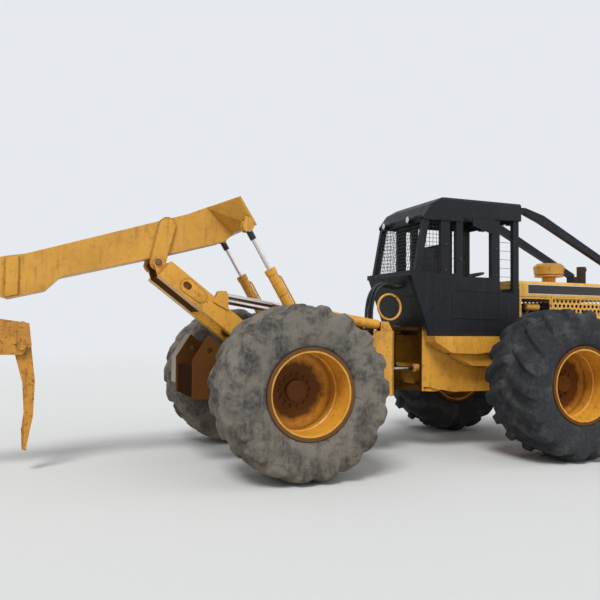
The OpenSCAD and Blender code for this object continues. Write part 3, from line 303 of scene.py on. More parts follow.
# Each finish's maker and what it is given: colours first, then amounts
FINISHES = {
    "boom_enamel": (enamel, "#D39B3A", "#BC852E", "#8A5A20", "#5E3217", 0.35),
    # arch_enamel's dark brown cover across the middle (|y| under 180 mm) is painted shade on the arch's underside
    "arch_enamel": (enamel, "#DFA238", "#C1832A", "#7C5020", "#5E3217", 0.6, 0.42, behind(-1500, -2350),
                    [("#38241A", across(180, 262))]),
    "frame_enamel": (enamel, "#DDA03A", "#C08128", "#7A5022", "#5A3118", 0.5),
    # front_frame_enamel's near-black cover across the middle (|y| under 372 mm) is painted shade for the deep gap
    # between the frames
    "front_frame_enamel": (enamel, "#DDA03A", "#C08128", "#7A5022", "#5A3118", 0.4, 0.42, None,
                           [("#17130F", across(372, 388, 0.1))]),
    "tail_enamel": (enamel, "#DCA03A", "#B9812F", "#6D4A26", "#4B2E1D", 0.7, 0.42, behind(-1900, -900),
                    [("#2A1B13", across(380, 408, 0.2)), ("#ADA597", across(480, 464, centred=False))]),
    "hood_enamel": (enamel, "#DFA843", "#CF9A3C", "#8D6227", "#54301A", 0.45),
    "cylinder_enamel": (enamel, "#E1A032", "#C8852A", "#8A5B22", "#5E3217", 0.3, 0.38),
    "grapple_enamel": (enamel, "#C98A2C", "#A4702A", "#5F4021", "#4A2A18", 0.95, 0.55),
    "cab_enamel": (enamel, "#15181E", "#1B1F25", "#35342F", "#33251C", 0.15, 0.5, None, (), 0.22),
    "rusty_casting": (rusted_casting, "#4A352A", "#6B4023", "#2B211C"),
    "dark_casting": (rusted_casting, "#33302E", "#4A3428", "#1D1B1A"),
    "zinc_bolt": (rusted_casting, "#6B6258", "#7A4D2A", "#3B2B20"),
    "rear_tyre_rubber": (dusty_rubber, "#3B3A3A", "#7C766B", "#64573F", 0.85),
    "front_tyre_rubber": (dusty_rubber, "#26282C", "#4C4D4D", "#45402F", 0.35),
    "chromed_rod": (polished_rod, "#D8D2D0", "#7B5A50"),
    "hose_rubber": (moulded, "#17181A", "#4B4944", 0.62, 3.0),
    "yellow_hose": (moulded, "#D79A35", "#A87B30", 0.5, 4.0, 0.5),
    "seat_vinyl": (moulded, "#1B1C1E", "#4A4843", 0.55, 2.2),
    "black_plastic": (moulded, "#141517", "#3C3B38", 0.45, 1.6, 0.25),
    "black_film": (moulded, "#0B0C0F", "#2A2A28", 0.35, 5.0, 0.3),
    "pale_film": (moulded, "#D9D3C4", "#A09780", 0.45, 5.0, 0.35),
    "lamp_lens": (lens_glass, "#C9D0D4"),
}
MATERIALS = {}


def finish_of(name):
    """The finished material of this name, made once."""
    if name not in MATERIALS:
        maker, *values = FINISHES[name]
        MATERIALS[name] = maker(name, *values)
    return MATERIALS[name]


def dress(node, material):
    """Gives a carried-over node its finish."""
    data = NODES[node].data
    data.materials.clear()
    data.materials.append(material)


def mesh_piece(name, vertices, faces, material, smooth=True, flat_angle=35):
    """A new piece in the scene, from vertices in metres and faces."""
    mesh = bpy.data.meshes.new(name)
    mesh.from_pydata([tuple(v) for v in vertices], [], faces)
    mesh.validate()
    piece = bpy.data.objects.new(name, mesh)
    bpy.context.scene.collection.objects.link(piece)
    mesh.materials.append(material)
    tidy_normals(piece)
    if smooth:
        mesh.shade_smooth()
        mesh.set_sharp_from_angle(angle=math.radians(flat_angle))
    return piece


def tidy_normals(piece):
    """Turns every face outwards."""
    shape = bmesh.new()
    shape.from_mesh(piece.data)
    bmesh.ops.recalc_face_normals(shape, faces=shape.faces)
    shape.to_mesh(piece.data)
    shape.free()


def joined(parts):
    """Vertices and faces of several parts as one list each."""
    vertices, faces = [], []
    for part_vertices, part_faces in parts:
        start = len(vertices)
        vertices.extend(part_vertices)
        faces.extend([tuple(start + i for i in face) for face in part_faces])
    return vertices, faces


def smooth_path(points, steps=6):
    """Points along a smooth curve through the given ones."""
    padded = [2 * points[0] - points[1], *points, 2 * points[-1] - points[-2]]
    path = []
    for i in range(1, len(padded) - 2):
        a, b, c, d = padded[i - 1:i + 3]
        for k in range(steps):
            t = k / steps
            path.append(0.5 * (2 * b + (c - a) * t + (2 * a - 5 * b + 4 * c - d) * t * t
                               + (3 * b - a - 3 * c + d) * t ** 3))
    return path + [points[-1]]


def strips(rows, columns):
    """Faces between rings of points that follow one another."""
    return [(i * columns + k, i * columns + (k + 1) % columns, (i + 1) * columns + (k + 1) % columns,
             (i + 1) * columns + k) for i in range(rows - 1) for k in range(columns)]


def capped(rows, columns):
    """Those faces, and one over each end ring."""
    last = (rows - 1) * columns
    return strips(rows, columns) + [tuple(range(columns)), tuple(range(last, last + columns))]


def swept(path, radius, sides=12):
    """A closed round tube along a path; radius is a number or a function of the share of the way along."""
    tangents = [(path[min(i + 1, len(path) - 1)] - path[max(i - 1, 0)]).normalized() for i in range(len(path))]
    up = tangents[0].orthogonal().normalized()
    vertices = []
    for i, (point, tangent) in enumerate(zip(path, tangents)):
        up = (up - tangent * up.dot(tangent)).normalized()
        aside = tangent.cross(up)
        r = radius(i / (len(path) - 1)) if callable(radius) else radius
        for k in range(sides):
            turn = 2 * math.pi * k / sides
            vertices.append(point + r * (math.cos(turn) * up + math.sin(turn) * aside))
    return vertices, capped(len(path), sides)


def hex_head(place, normal, width, height):
    """A bolt's hexagon head on a washer, standing on a surface at place."""
    axis = normal.normalized()
    side = axis.orthogonal().normalized()
    other = axis.cross(side)
    rings = ((0.62 * width, 0.0, 24), (0.62 * width, 0.2 * height, 24), (0.5 * width, 0.2 * height, 24),
             (0.56 * width, 0.22 * height, 6), (0.56 * width, 0.9 * height, 6), (0.44 * width, height, 6))
    vertices = []
    for r, h, corners in rings:
        for k in range(24):
            turn = 2 * math.pi * k / 24
            if corners == 6:
                reach = r * math.cos(math.pi / 6) / math.cos((turn % (math.pi / 3)) - math.pi / 6)
            else:
                reach = r
            vertices.append(place + reach * (math.cos(turn) * side + math.sin(turn) * other) + h * axis)
    return vertices, capped(len(rings), 24)


def bolt_group(name, body, places, normal, width_mm, height_mm, finish="zinc_bolt"):
    """One piece of bolt heads that all face one way."""
    parts = [hex_head(place, Vector(normal), width_mm * MM, height_mm * MM) for place in places]
    piece = mesh_piece(name, *joined(parts), finish_of(finish), flat_angle=25)
    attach(piece, body)


def prism(outline, y0, y1):
    """A plate between two planes across the machine, from an outline of x and z in millimetres."""
    count = len(outline)
    vertices = [at(x, y, z) for y in (y0, y1) for x, z in outline]
    faces = [tuple(range(count)), tuple(range(2 * count - 1, count - 1, -1))]
    faces += [(k, (k + 1) % count, count + (k + 1) % count, count + k) for k in range(count)]
    return vertices, faces


def turned(profile, centre, axis, sides=40):
    """A round body from pairs of radius and height along an axis."""
    axis = Vector(axis).normalized()
    side = axis.orthogonal().normalized()
    other = axis.cross(side)
    vertices = [centre + height * axis + radius * (math.cos(a) * side + math.sin(a) * other)
                for radius, height in profile for a in (2 * math.pi * k / sides for k in range(sides))]
    return vertices, capped(len(profile), sides)


def link_outline(a, b, ra, rb, steps=10):
    """Points of x and z round a plate with round ends."""
    along = (Vector(b) - Vector(a)).normalized()
    heading = math.atan2(along.y, along.x)
    points = []
    for centre, radius, start in ((a, ra, 0.5), (b, rb, -0.5)):
        for k in range(steps + 1):
            turn = heading + math.pi * (start + k / steps)
            points.append((centre[0] + radius * math.cos(turn), centre[1] + radius * math.sin(turn)))
    return points


def bead(points, radius_mm, closed=True):
    """A weld bead along points; a closed one ends where it starts."""
    path = smooth_path(points, 2)
    return swept(path + [path[0]] if closed else path, radius_mm * MM, 6)


def block(name, corner_a, corner_b, round_mm, material):
    """A box with rounded edges between two corners in millimetres."""
    low, high = at(*corner_a), at(*corner_b)
    shape = bmesh.new()
    bmesh.ops.create_cube(shape, size=1.0)
    for v in shape.verts:
        v.co = Vector([low[i] + (v.co[i] + 0.5) * (high[i] - low[i]) for i in range(3)])
    bmesh.ops.bevel(shape, geom=shape.edges, offset=round_mm * MM, segments=4, affect="EDGES", profile=0.5)
    mesh = bpy.data.meshes.new(name)
    shape.to_mesh(mesh)
    shape.free()
    piece = bpy.data.objects.new(name, mesh)
    bpy.context.scene.collection.objects.link(piece)
    mesh.materials.append(material)
    mesh.shade_smooth()
    return piece


class SeatSizes(bpy.types.PropertyGroup):
    swell: bpy.props.FloatProperty(name="Swell", description="How far a point of a cushion may move outwards",
                                   default=0.014, unit="LENGTH")
    channel: bpy.props.FloatProperty(name="Channel", description="Spacing of the sewn channels", default=0.11,
                                     unit="LENGTH")


class TyreSizes(bpy.types.PropertyGroup):
    lug_count: bpy.props.IntProperty(name="Lugs", description="Lugs on each half of a tread", default=18, min=12,
                                     max=28)
    front_lug: bpy.props.FloatProperty(name="Front lug", description="Depth of a front lug", default=0.052,
                                       unit="LENGTH")
    rear_lug: bpy.props.FloatProperty(name="Rear lug", description="Depth of a worn rear lug", default=0.036,
                                      unit="LENGTH")
    slant: bpy.props.FloatProperty(name="Slant", description="Turn from a lug's inner end to its shoulder",
                                   default=math.radians(16), unit="ROTATION")
    crest: bpy.props.FloatProperty(name="Crest", description="Width of a lug's top", default=0.085, unit="LENGTH")


class ScreenSizes(bpy.types.PropertyGroup):
    pitch: bpy.props.FloatProperty(name="Mesh pitch", description="Spacing of the cab screens' wires", default=0.045,
                                   unit="LENGTH")
    wire: bpy.props.FloatProperty(name="Wire", description="Radius of a screen's wire", default=0.0028,
                                  unit="LENGTH")


class StageColours(bpy.types.PropertyGroup):
    floor: bpy.props.FloatVectorProperty(name="Floor", description="Colour of the floor", subtype="COLOR", size=4,
                                         default=linear("#D3D4D2"), min=0, max=1)
    air: bpy.props.FloatVectorProperty(name="Background", description="Colour behind the machine", subtype="COLOR",
                                       size=4, default=linear("#E6EAEE"), min=0, max=1)


class SKIDDER_OT_stage(bpy.types.Operator):
    """Makes the camera, the floor and the light"""
    bl_idname = "skidder.stage"
    bl_label = "Stage"

    def execute(self, context):
        scene = context.scene
        colours = scene.skidder_stage
        camera_data = bpy.data.cameras.new("photo_camera")
        camera_data.sensor_fit = "HORIZONTAL"
        camera_data.sensor_width = SENSOR_MM
        camera_data.lens = SENSOR_MM * FOCAL_PX / PHOTO_PX
        camera = bpy.data.objects.new("photo_camera", camera_data)
        ahead = Vector((-math.sin(YAW), math.cos(YAW), 0))
        right = Vector((math.cos(YAW), math.sin(YAW), 0))
        up = Vector((0, 0, 1))
        view = ahead * math.cos(PITCH) + up * math.sin(PITCH)
        top = up * math.cos(PITCH) - ahead * math.sin(PITCH)
        right, top = right * math.cos(ROLL) + top * math.sin(ROLL), top * math.cos(ROLL) - right * math.sin(ROLL)
        camera.matrix_world = Matrix.Translation(Vector(CAMERA_PLACE) + Vector((MID_X, 0, 0))) @ Matrix(
            (right, top, -view)).transposed().to_4x4()
        scene.collection.objects.link(camera)
        scene.camera = camera
        self.light(scene)
        self.floor(colours)
        self.air(scene, colours)
        scene.view_settings.view_transform = "Standard"
        return {"FINISHED"}

    def light(self, scene):
        for name, direction, strength, spread in (("key_sun", (0.55, 0.75, -1.15), 2.1, 22),
                                                  ("fill_sun", (-0.9, 0.5, -0.5), 0.5, 60)):
            data = bpy.data.lights.new(name, "SUN")
            data.energy = strength
            data.angle = math.radians(spread)
            lamp = bpy.data.objects.new(name, data)
            lamp.rotation_euler = Vector(direction).to_track_quat("-Z", "Y").to_euler()
            scene.collection.objects.link(lamp)

    def floor(self, colours):
        """A round floor, which is no part of the object."""
        reach, corners = 45.0, 96
        ring = [(reach * math.cos(2 * math.pi * k / corners), reach * math.sin(2 * math.pi * k / corners), 0)
                for k in range(corners)]
        floor = mesh_piece("floor", ring, [tuple(range(corners))], self.floor_material(colours), smooth=False)

    def floor_material(self, colours):
        """Paint that turns, from 9 to 30 m from the floor's middle, into a glow of the air's colour."""
        material, tree, shader = new_material("painted_floor")
        shader.inputs["Base Color"].default_value = colours.floor
        shader.inputs["Roughness"].default_value = 0.9
        coords = add(tree, "TexCoord").outputs["Object"]
        distance = add(tree, "VectorMath", {0: coords}, operation="LENGTH").outputs["Value"]
        far = ramp(tree, distance, 9.0, 30.0)
        glow = add(tree, "Emission", {"Color": tuple(colours.air)})
        blend = add(tree, "MixShader", {0: far, 1: shader.outputs[0], 2: glow.outputs[0]})
        output = next(n for n in tree.nodes if n.type == "OUTPUT_MATERIAL")
        tree.links.new(blend.outputs[0], output.inputs["Surface"])
        return material

    def air(self, scene, colours):
        """A world that lights softly, and shows the air's colour where it is seen or mirrored."""
        world = bpy.data.worlds.new("studio_air")
        world.use_nodes = True
        tree = world.node_tree
        tree.nodes.clear()
        path = add(tree, "LightPath")
        seen = reckon(tree, "MAXIMUM", path.outputs["Is Camera Ray"], path.outputs["Is Transmission Ray"])
        seen = reckon(tree, "MAXIMUM", seen, path.outputs["Is Glossy Ray"])
        soft = add(tree, "Background", {"Color": linear("#F1F4F8"), "Strength": 0.62})
        shown = add(tree, "Background", {"Color": tuple(colours.air), "Strength": 1.0})
        mix = add(tree, "MixShader", {0: seen, 1: soft.outputs[0], 2: shown.outputs[0]})
        add(tree, "OutputWorld", {"Surface": mix.outputs[0]})
        scene.world = world


class SKIDDER_OT_finishes(bpy.types.Operator):
    """Gives each carried-over piece its finish"""
    bl_idname = "skidder.finishes"
    bl_label = "Finishes"

    def execute(self, context):
        plan = {
            "boom_enamel": ["boom"],
            "arch_enamel": ["arch"],
            "front_frame_enamel": ["front_frame"],
            "frame_enamel": ["side_steps", "blade", "grapple_hanger"],
            "tail_enamel": ["rear_frame"],
            "hood_enamel": ["hood", "nose_guard", "air_intake", "hood_screens"],
            "cylinder_enamel": ["arch_cylinder_barrels", "boom_cylinder_barrels", "blade_cylinder_barrels",
                                "left_steering_barrel", "right_steering_barrel"],
            "grapple_enamel": ["grapple_head", "rear_tong", "front_tong", "tong_cylinder_barrel"],
            "cab_enamel": ["cab_shell", "cab_roof", "limb_risers"],
            "rusty_casting": ["front_axle", "rear_axle", "boom_link"],
            "dark_casting": ["engine", "exhaust_deflector"],
            "chromed_rod": ["arch_cylinder_rods", "boom_cylinder_rods", "tong_cylinder_rod", "blade_cylinder_rods",
                            "left_steering_rod", "right_steering_rod"],
            "black_plastic": ["steering_wheel", "work_lamps"],
        }
        for finish, nodes in plan.items():
            for node in nodes:
                dress(node, finish_of(finish))
        for wheel in WHEELS:
            centre = tuple(PINS[wheel + "_wheel_spin"])
            rusty = wheel.startswith("front")
            inner, outer = (0.24, 0.42) if rusty else (0.22, 0.37)
            name = wheel + "_rim_enamel"
            dress(wheel + "_rim", enamel(name, "#DFA136", "#C5862B", "#6B4A25", "#5C3520" if rusty else "#5C4030",
                                         0.55 if rusty else 0.3, rust_field=about_hub(centre, inner, outer)))
        return {"FINISHED"}


# Of a tyre, in metres: where a lug starts beside the tread's middle and how far out it goes, the radius on
# the sidewall where it fades out, and the radius below which rubber isn't worn
LUG_INNER_END, LUG_SPAN, LUG_ROOT_R, UNWORN_R = 0.055, 0.33, 0.655, 0.5


class SKIDDER_OT_tyres(bpy.types.Operator):
    """Shapes the four lugged tyres"""
    bl_idname = "skidder.tyres"
    bl_label = "Tyres"

    def execute(self, context):
        sizes = context.scene.skidder_tyres
        for index, wheel in enumerate(WHEELS):
            front = wheel.startswith("front")
            depth = sizes.front_lug if front else sizes.rear_lug
            finish = finish_of("front_tyre_rubber" if front else "rear_tyre_rubber")
            piece = self.tyre(wheel + "_lugged_tyre", wheel, sizes, depth, finish, index, front)
            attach(piece, wheel + "_wheel")
            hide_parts(wheel + "_tyre")
        return {"FINISHED"}

    def half_profile(self, tread_r):
        """Radius and half width from the bead, round the sidewall, to the middle of the tread."""
        points = [(0.4065, 0.322), (0.4465, 0.326), (0.462, 0.345), (0.490, 0.362), (0.545, 0.377), (0.620, 0.3815),
                  (0.690, 0.3790), (0.742, 0.368), (tread_r - 0.045, 0.345), (tread_r - 0.017, 0.300),
                  (tread_r - 0.004, 0.200), (tread_r, 0.090), (tread_r, 0.0)]
        return smooth_path([Vector((r, w, 0)) for r, w in points[1:]], 4), Vector((points[0][0], points[0][1], 0))

    def tyre(self, name, wheel, sizes, depth, finish, seed, deep):
        """A tyre as one mesh: a profile turned round the axle, raised where the slanted lugs run."""
        low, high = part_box(wheel + "_tyre")
        centre = PINS[wheel + "_wheel_spin"]
        side = 1 if centre.y > 0 else -1
        tread_r = (high.z - low.z) / 2 - depth
        half, bead = self.half_profile(tread_r)
        profile = [(p.x, p.y) for p in half] + [(p.x, -p.y) for p in reversed(half[:-1])]
        columns = 18 * sizes.lug_count
        pitch = 2 * math.pi / sizes.lug_count
        rows = len(profile)
        angles = np.arange(columns) * 2 * math.pi / columns
        grid = np.zeros((rows, columns, 3))
        for i, (r, w) in enumerate(profile):
            before, after = profile[max(i - 1, 0)], profile[min(i + 1, rows - 1)]
            along = np.array([after[0] - before[0], after[1] - before[1]])
            out = np.array([-along[1], along[0]]) / np.linalg.norm(along)
            share = min(max(abs(w) - LUG_INNER_END, 0.0) / LUG_SPAN, 1.0)
            shift = sizes.slant * share + (0 if w * side > 0 else pitch / 2)
            offset = (angles + shift + pitch / 2) % pitch - pitch / 2
            crest = sizes.crest * (0.8 + 0.45 * share) / 2
            flank = 0.028 if deep else 0.045
            rise = np.clip((crest + flank - np.abs(offset) * r) / flank, 0, 1)
            rise = rise * rise * (3 - 2 * rise)
            reach = np.clip((r - LUG_ROOT_R) / 0.085, 0, 1) * np.clip((abs(w) - 0.012) / 0.03, 0, 1)
            lift = depth * rise * reach * (0.75 if r < 0.745 else 1.0)
            grid[i, :, 0] = (r + out[0] * lift) * np.sin(angles)
            grid[i, :, 1] = w + out[1] * lift
            grid[i, :, 2] = (r + out[0] * lift) * np.cos(angles)
        vertices = [Vector(p) for p in grid.reshape(-1, 3)]
        self.weather(vertices, seed, deep)
        limit = (high.z - low.z) / 2
        half_width = (high.y - low.y) / 2
        for v in vertices:
            r = math.hypot(v.x, v.z)
            if r > limit:
                v.x *= limit / r
                v.z *= limit / r
            v.y = max(-half_width, min(half_width, v.y))
            v += centre
        faces = strips(rows, columns)
        count = len(vertices)
        for y in (bead.y, -bead.y):
            vertices.extend(centre + Vector((bead.x * math.sin(a), y, bead.x * math.cos(a))) for a in angles)
        for k in range(columns):
            j = (k + 1) % columns
            faces.append((count + k, count + j, j, k))
            faces.append((count + k, count + columns + k, count + columns + j, count + j))
            last = (rows - 1) * columns
            faces.append((last + k, last + j, count + columns + j, count + columns + k))
        return mesh_piece(name, vertices, faces, finish, flat_angle=60)

    def weather(self, vertices, seed, deep):
        """Wear: lumps and torn edges, a few millimetres deep, the same on every run."""
        shift = Vector((7.3 * seed, 1.9 * seed, 4.1 * seed))
        for v in vertices:
            r = math.hypot(v.x, v.z)
            if r < UNWORN_R:
                continue
            worn = min((r - UNWORN_R) / 0.3, 1.0)
            lump = noise.fractal(v * 5.0 + shift, 1.0, 2.0, 4)
            cut = noise.fractal(v * 22.0 + shift, 1.0, 2.0, 3)
            amount = worn * ((0.010 if deep else 0.013) * lump - 0.004 * abs(cut))
            v.x -= v.x / r * amount
            v.z -= v.z / r * amount


class SKIDDER_OT_cab_screens(bpy.types.Operator):
    """Weaves the cab's wire screens"""
    bl_idname = "skidder.cab_screens"
    bl_label = "Cab screens"

    def execute(self, context):
        sizes = context.scene.skidder_screens
        leg_foot, leg_bend, leg_top = (140, 2152), (268, 2790), (392, 2898)
        parts = []
        for side in (-1, 1):
            y = side * 518
            place = lambda x, z, y=y: at(x, y, z)
            self.weave(parts, sizes, place, lambda z: self.edge(z, leg_foot, leg_bend, leg_top), lambda z: 433,
                       2154, 2897)
            self.weave(parts, sizes, place, lambda z: 1291, lambda z: 1497, 1923, 2897, 2.4)
        self.weave(parts, sizes, lambda y, z: at(self.edge(z, (64, 2172), (186, 2790), (186, 2790)) + 20, y, z),
                   lambda z: -484, lambda z: 484, 2172, 2768)
        piece = mesh_piece("welded_cab_screens", *joined(parts), finish_of("black_plastic"))
        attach(piece, "front_body")
        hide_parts("cab_screens")
        return {"FINISHED"}

    def edge(self, z, foot, bend, top):
        """Where a bent leg's edge is at this height."""
        a, b = (foot, bend) if z < bend[1] else (bend, top)
        return a[0] + (z - a[1]) * (b[0] - a[0]) / max(b[1] - a[1], 1)

    def weave(self, parts, sizes, place, left, right, low, high, coarse=1.0):
        """Wires up and across a window whose left and right edges are functions of the height."""
        pitch = sizes.pitch * coarse / MM
        rows = int((high - low) / pitch)
        for i in range(rows + 1):
            z = low + i * (high - low) / rows
            parts.append(swept([place(left(z), z), place(right(z), z)], sizes.wire, 6))
        columns = int((right(low) - left(low)) / pitch)
        for i in range(columns + 1):
            across = right(low) - i * (right(low) - left(low)) / columns
            levels = [low + k * (high - low) / 24 for k in range(25)]
            inside = [z for z in levels if left(z) <= across <= right(z)]
            if len(inside) > 1:
                parts.append(swept([place(across, inside[0]), place(across, inside[-1])], sizes.wire, 6))


CLOTH_FRAMES = 20


class SKIDDER_OT_seat(bpy.types.Operator):
    """Sews and fills the operator's seat"""
    bl_idname = "skidder.seat"
    bl_label = "Seat"

    def execute(self, context):
        sizes = context.scene.skidder_seat
        vinyl = finish_of("seat_vinyl")
        cushion = self.pad(context.scene, "seat_cushion", (640, -225, 1842), (1068, 225, 1945), sizes, 0, vinyl)
        back = self.pad(context.scene, "seat_back", (585, -225, 1985), (690, 225, 2555), sizes, 2, vinyl)
        base = block("seat_base", (700, -170, 1431), (1000, 170, 1845), 18, finish_of("black_plastic"))
        posts = [swept([at(640, y, 1850), at(632, y, 2100)], 0.016, 12) for y in (-140, 140)]
        hinge = mesh_piece("seat_back_posts", *joined(posts), finish_of("black_plastic"))
        for piece in (cushion, back, base, hinge):
            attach(piece, "front_body")
        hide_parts("seat")
        return {"FINISHED"}

    def pad(self, scene, name, corner_a, corner_b, sizes, long_axis, material):
        """A cushion: a rounded block remeshed, swollen as cloth, then pressed in along its sewn channels."""
        piece = block(name, corner_a, corner_b, 34, material)
        remesh = piece.modifiers.new("even_skin", "REMESH")
        remesh.mode = "VOXEL"
        remesh.voxel_size = 0.008
        self.bake(piece)
        self.inflate(scene, piece, sizes.swell)
        skin = piece.modifiers.new("fine_skin", "SUBSURF")
        skin.levels = 1
        self.bake(piece)
        low, high = at(*corner_a), at(*corner_b)
        middle = (low[long_axis] + high[long_axis]) / 2
        normals = [v.normal.copy() for v in piece.data.vertices]
        deep, wide = 0.004, 0.006
        for vertex, normal in zip(piece.data.vertices, normals):
            offset = (vertex.co[long_axis] - middle + sizes.channel / 2) % sizes.channel - sizes.channel / 2
            vertex.co -= normal * deep * math.exp(-(offset / wide) ** 2)
        piece.data.shade_smooth()
        return piece

    def bake(self, piece):
        """Writes the modifiers' result into the mesh."""
        mesh = bpy.data.meshes.new_from_object(piece.evaluated_get(bpy.context.evaluated_depsgraph_get()))
        piece.modifiers.clear()
        piece.data = mesh

    def inflate(self, scene, piece, limit):
        """Lets pressure fill the cushion as cloth, with each point held within a limit."""
        start = [v.co.copy() for v in piece.data.vertices]
        cloth = piece.modifiers.new("swell", "CLOTH")
        cloth.settings.use_pressure = True
        cloth.settings.uniform_pressure_force = 4
        cloth.settings.effector_weights.gravity = 0
        cloth.point_cache.frame_start = 1
        cloth.point_cache.frame_end = CLOTH_FRAMES
        for frame_number in range(1, CLOTH_FRAMES + 1):
            scene.frame_set(frame_number)
        swollen = piece.evaluated_get(bpy.context.evaluated_depsgraph_get()).data
        moved = [v.co.copy() for v in swollen.vertices]
        piece.modifiers.clear()
        scene.frame_set(1)
        for vertex, old, new in zip(piece.data.vertices, start, moved):
            shift = new - old
            if shift.length > limit:
                shift *= limit / shift.length
            vertex.co = old + shift


class SKIDDER_OT_cab_parts(bpy.types.Operator):
    """Fits the levers, console and fasteners of the cab"""
    bl_idname = "skidder.cab_parts"
    bl_label = "Cab parts"

    def execute(self, context):
        console = block("control_console", (560, -430, 1431), (705, -285, 1985), 14, finish_of("black_plastic"))
        levers = []
        for i in range(5):
            x, y = 582 + 24 * i, -395 + 20 * (i % 3)
            top = (x + 46 - 20 * i, y + 10, 2290 + 22 * (i % 2))
            levers.append(swept([at(x, y, 1975), at(*top)], 0.006, 10))
            levers.append(turned([(0.001, -0.02), (0.012, -0.016), (0.018, 0.0), (0.012, 0.016), (0.001, 0.02)],
                                 at(*top), (0, 0, 1), 16))
        sticks = mesh_piece("control_levers", *joined(levers), finish_of("black_plastic"))
        bolts = [at(x, -546.5, z) for x, z in ((495, 2500), (495, 2190), (700, 2330), (1230, 2480), (1230, 2150))]
        bolt_group("cab_bolts", "front_body", bolts, (0, -1, 0), 26, 12, "dark_casting")
        seams = [bead([at(x0, -545.5, z0), at(x1, -545.5, z1)], 3.5, closed=False)
                 for x0, z0, x1, z1 in ((588, 1420, 588, 1900), (1271, 1415, 1271, 1900), (724, 2795, 724, 3030))]
        seams += [bead([at(x0, -560, z0), at(x1, -560, z1)], 4, closed=False)
                  for x0, z0, x1, z1 in ((735, 2852, 1600, 2852), (190, 2792, 715, 2792))]
        lines = mesh_piece("cab_seams", *joined(seams), finish_of("cab_enamel"))
        for piece in (console, sticks, lines):
            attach(piece, "front_body")
        return {"FINISHED"}


class SKIDDER_OT_lamps(bpy.types.Operator):
    """Sets lenses and bezels in the work lamps"""
    bl_idname = "skidder.lamps"
    bl_label = "Work lamps"

    def execute(self, context):
        low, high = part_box("work_lamps")
        lenses, bezels = [], []
        for y in (-0.3, 0.3):
            for x, z, radius, way in ((high.x, high.z - 0.060, 0.060, 1), (low.x, low.z + 0.050, 0.050, -1)):
                face, axis = Vector((x, y, z)), (way, 0, 0)
                lenses.append(turned([(radius * 0.84, -0.004), (radius * 0.82, 0.001), (radius * 0.6, 0.005),
                                      (radius * 0.3, 0.007), (0.001, 0.008)], face, axis))
                bezels.append(turned([(radius * 0.80, -0.002), (radius * 0.84, 0.006), (radius * 0.99, 0.005),
                                      (radius * 1.03, -0.004), (radius * 1.0, -0.012)], face, axis))
        glass = mesh_piece("lamp_lenses", *joined(lenses), finish_of("lamp_lens"))
        rims = mesh_piece("lamp_bezels", *joined(bezels), finish_of("black_plastic"))
        for piece in (glass, rims):
            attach(piece, "front_body")
        return {"FINISHED"}


class SKIDDER_OT_hood_parts(bpy.types.Operator):
    """Lays the plain band, the ledges and the latches on the hood, and the canister and hoses in its bay"""
    bl_idname = "skidder.hood_parts"
    bl_label = "Hood parts"

    def execute(self, context):
        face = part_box("hood")[1].y / MM
        for name, proud, bar, finish in (("band_border", 1.2, (1800, 3310, 1941, 2069), "pale_film"),
                                         ("blank_band", 1.9, (1808, 3302, 1949, 2061), "black_film")):
            piece = mesh_piece(name, *joined(self.bars(face, proud, bar)), finish_of(finish), smooth=False)
            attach(piece, "front_body")
        ledges = self.bars(face, 7, (1625, 3390, 1912, 1924))
        frames = self.bars(face, 5, (2186, 3344, 1892, 1908), (2186, 3344, 1690, 1706), (2186, 2204, 1706, 1892),
                           (3326, 3344, 1706, 1892))
        trim = mesh_piece("hood_ledges", *joined(ledges + frames), finish_of("hood_enamel"), smooth=False)
        canister = turned([(0.001, -0.012), (0.034, -0.010), (0.049, 0.0), (0.049, 0.17), (0.053, 0.172),
                           (0.053, 0.192), (0.044, 0.200), (0.001, 0.205)], at(1848, -345, 1780), (1, 0, 0))
        can = mesh_piece("bay_canister", *canister, finish_of("hood_enamel"))
        runs = (((1722, -372, 1500), (1726, -392, 1560), (1790, -404, 1660), (1846, -395, 1720),
                 (1870, -360, 1742)),
                ((2050, -300, 1700), (2000, -372, 1690), (1930, -396, 1620), (1900, -380, 1540),
                 (1850, -330, 1470)))
        pipes = [swept(smooth_path([at(*p) for p in run], 5), 0.014, 12) for run in runs]
        hoses = mesh_piece("bay_hoses", *joined(pipes), finish_of("hose_rubber"))
        for side, word in SIDES:
            latches = [at(x, side * (face + 0.4), z) for x, z in ((1650, 2040), (3360, 2040), (2170, 1800))]
            bolt_group(f"hood_latches_{word}", "front_body", latches, (0, side, 0), 24, 10)
        for piece in (trim, can, hoses):
            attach(piece, "front_body")
        return {"FINISHED"}

    def bars(self, face, proud, *spans):
        """Flat bars on both of the hood's sides, from x0 to x1 and z0 to z1, proud of its face in millimetres."""
        return [prism([(x0, z0), (x1, z0), (x1, z1), (x0, z1)], side * (face - 1), side * (face + proud))
                for side in (-1, 1) for x0, x1, z0, z1 in spans]


CLAMP_R = 61  # of a clamp's ring round a boom cylinder's barrel, in millimetres


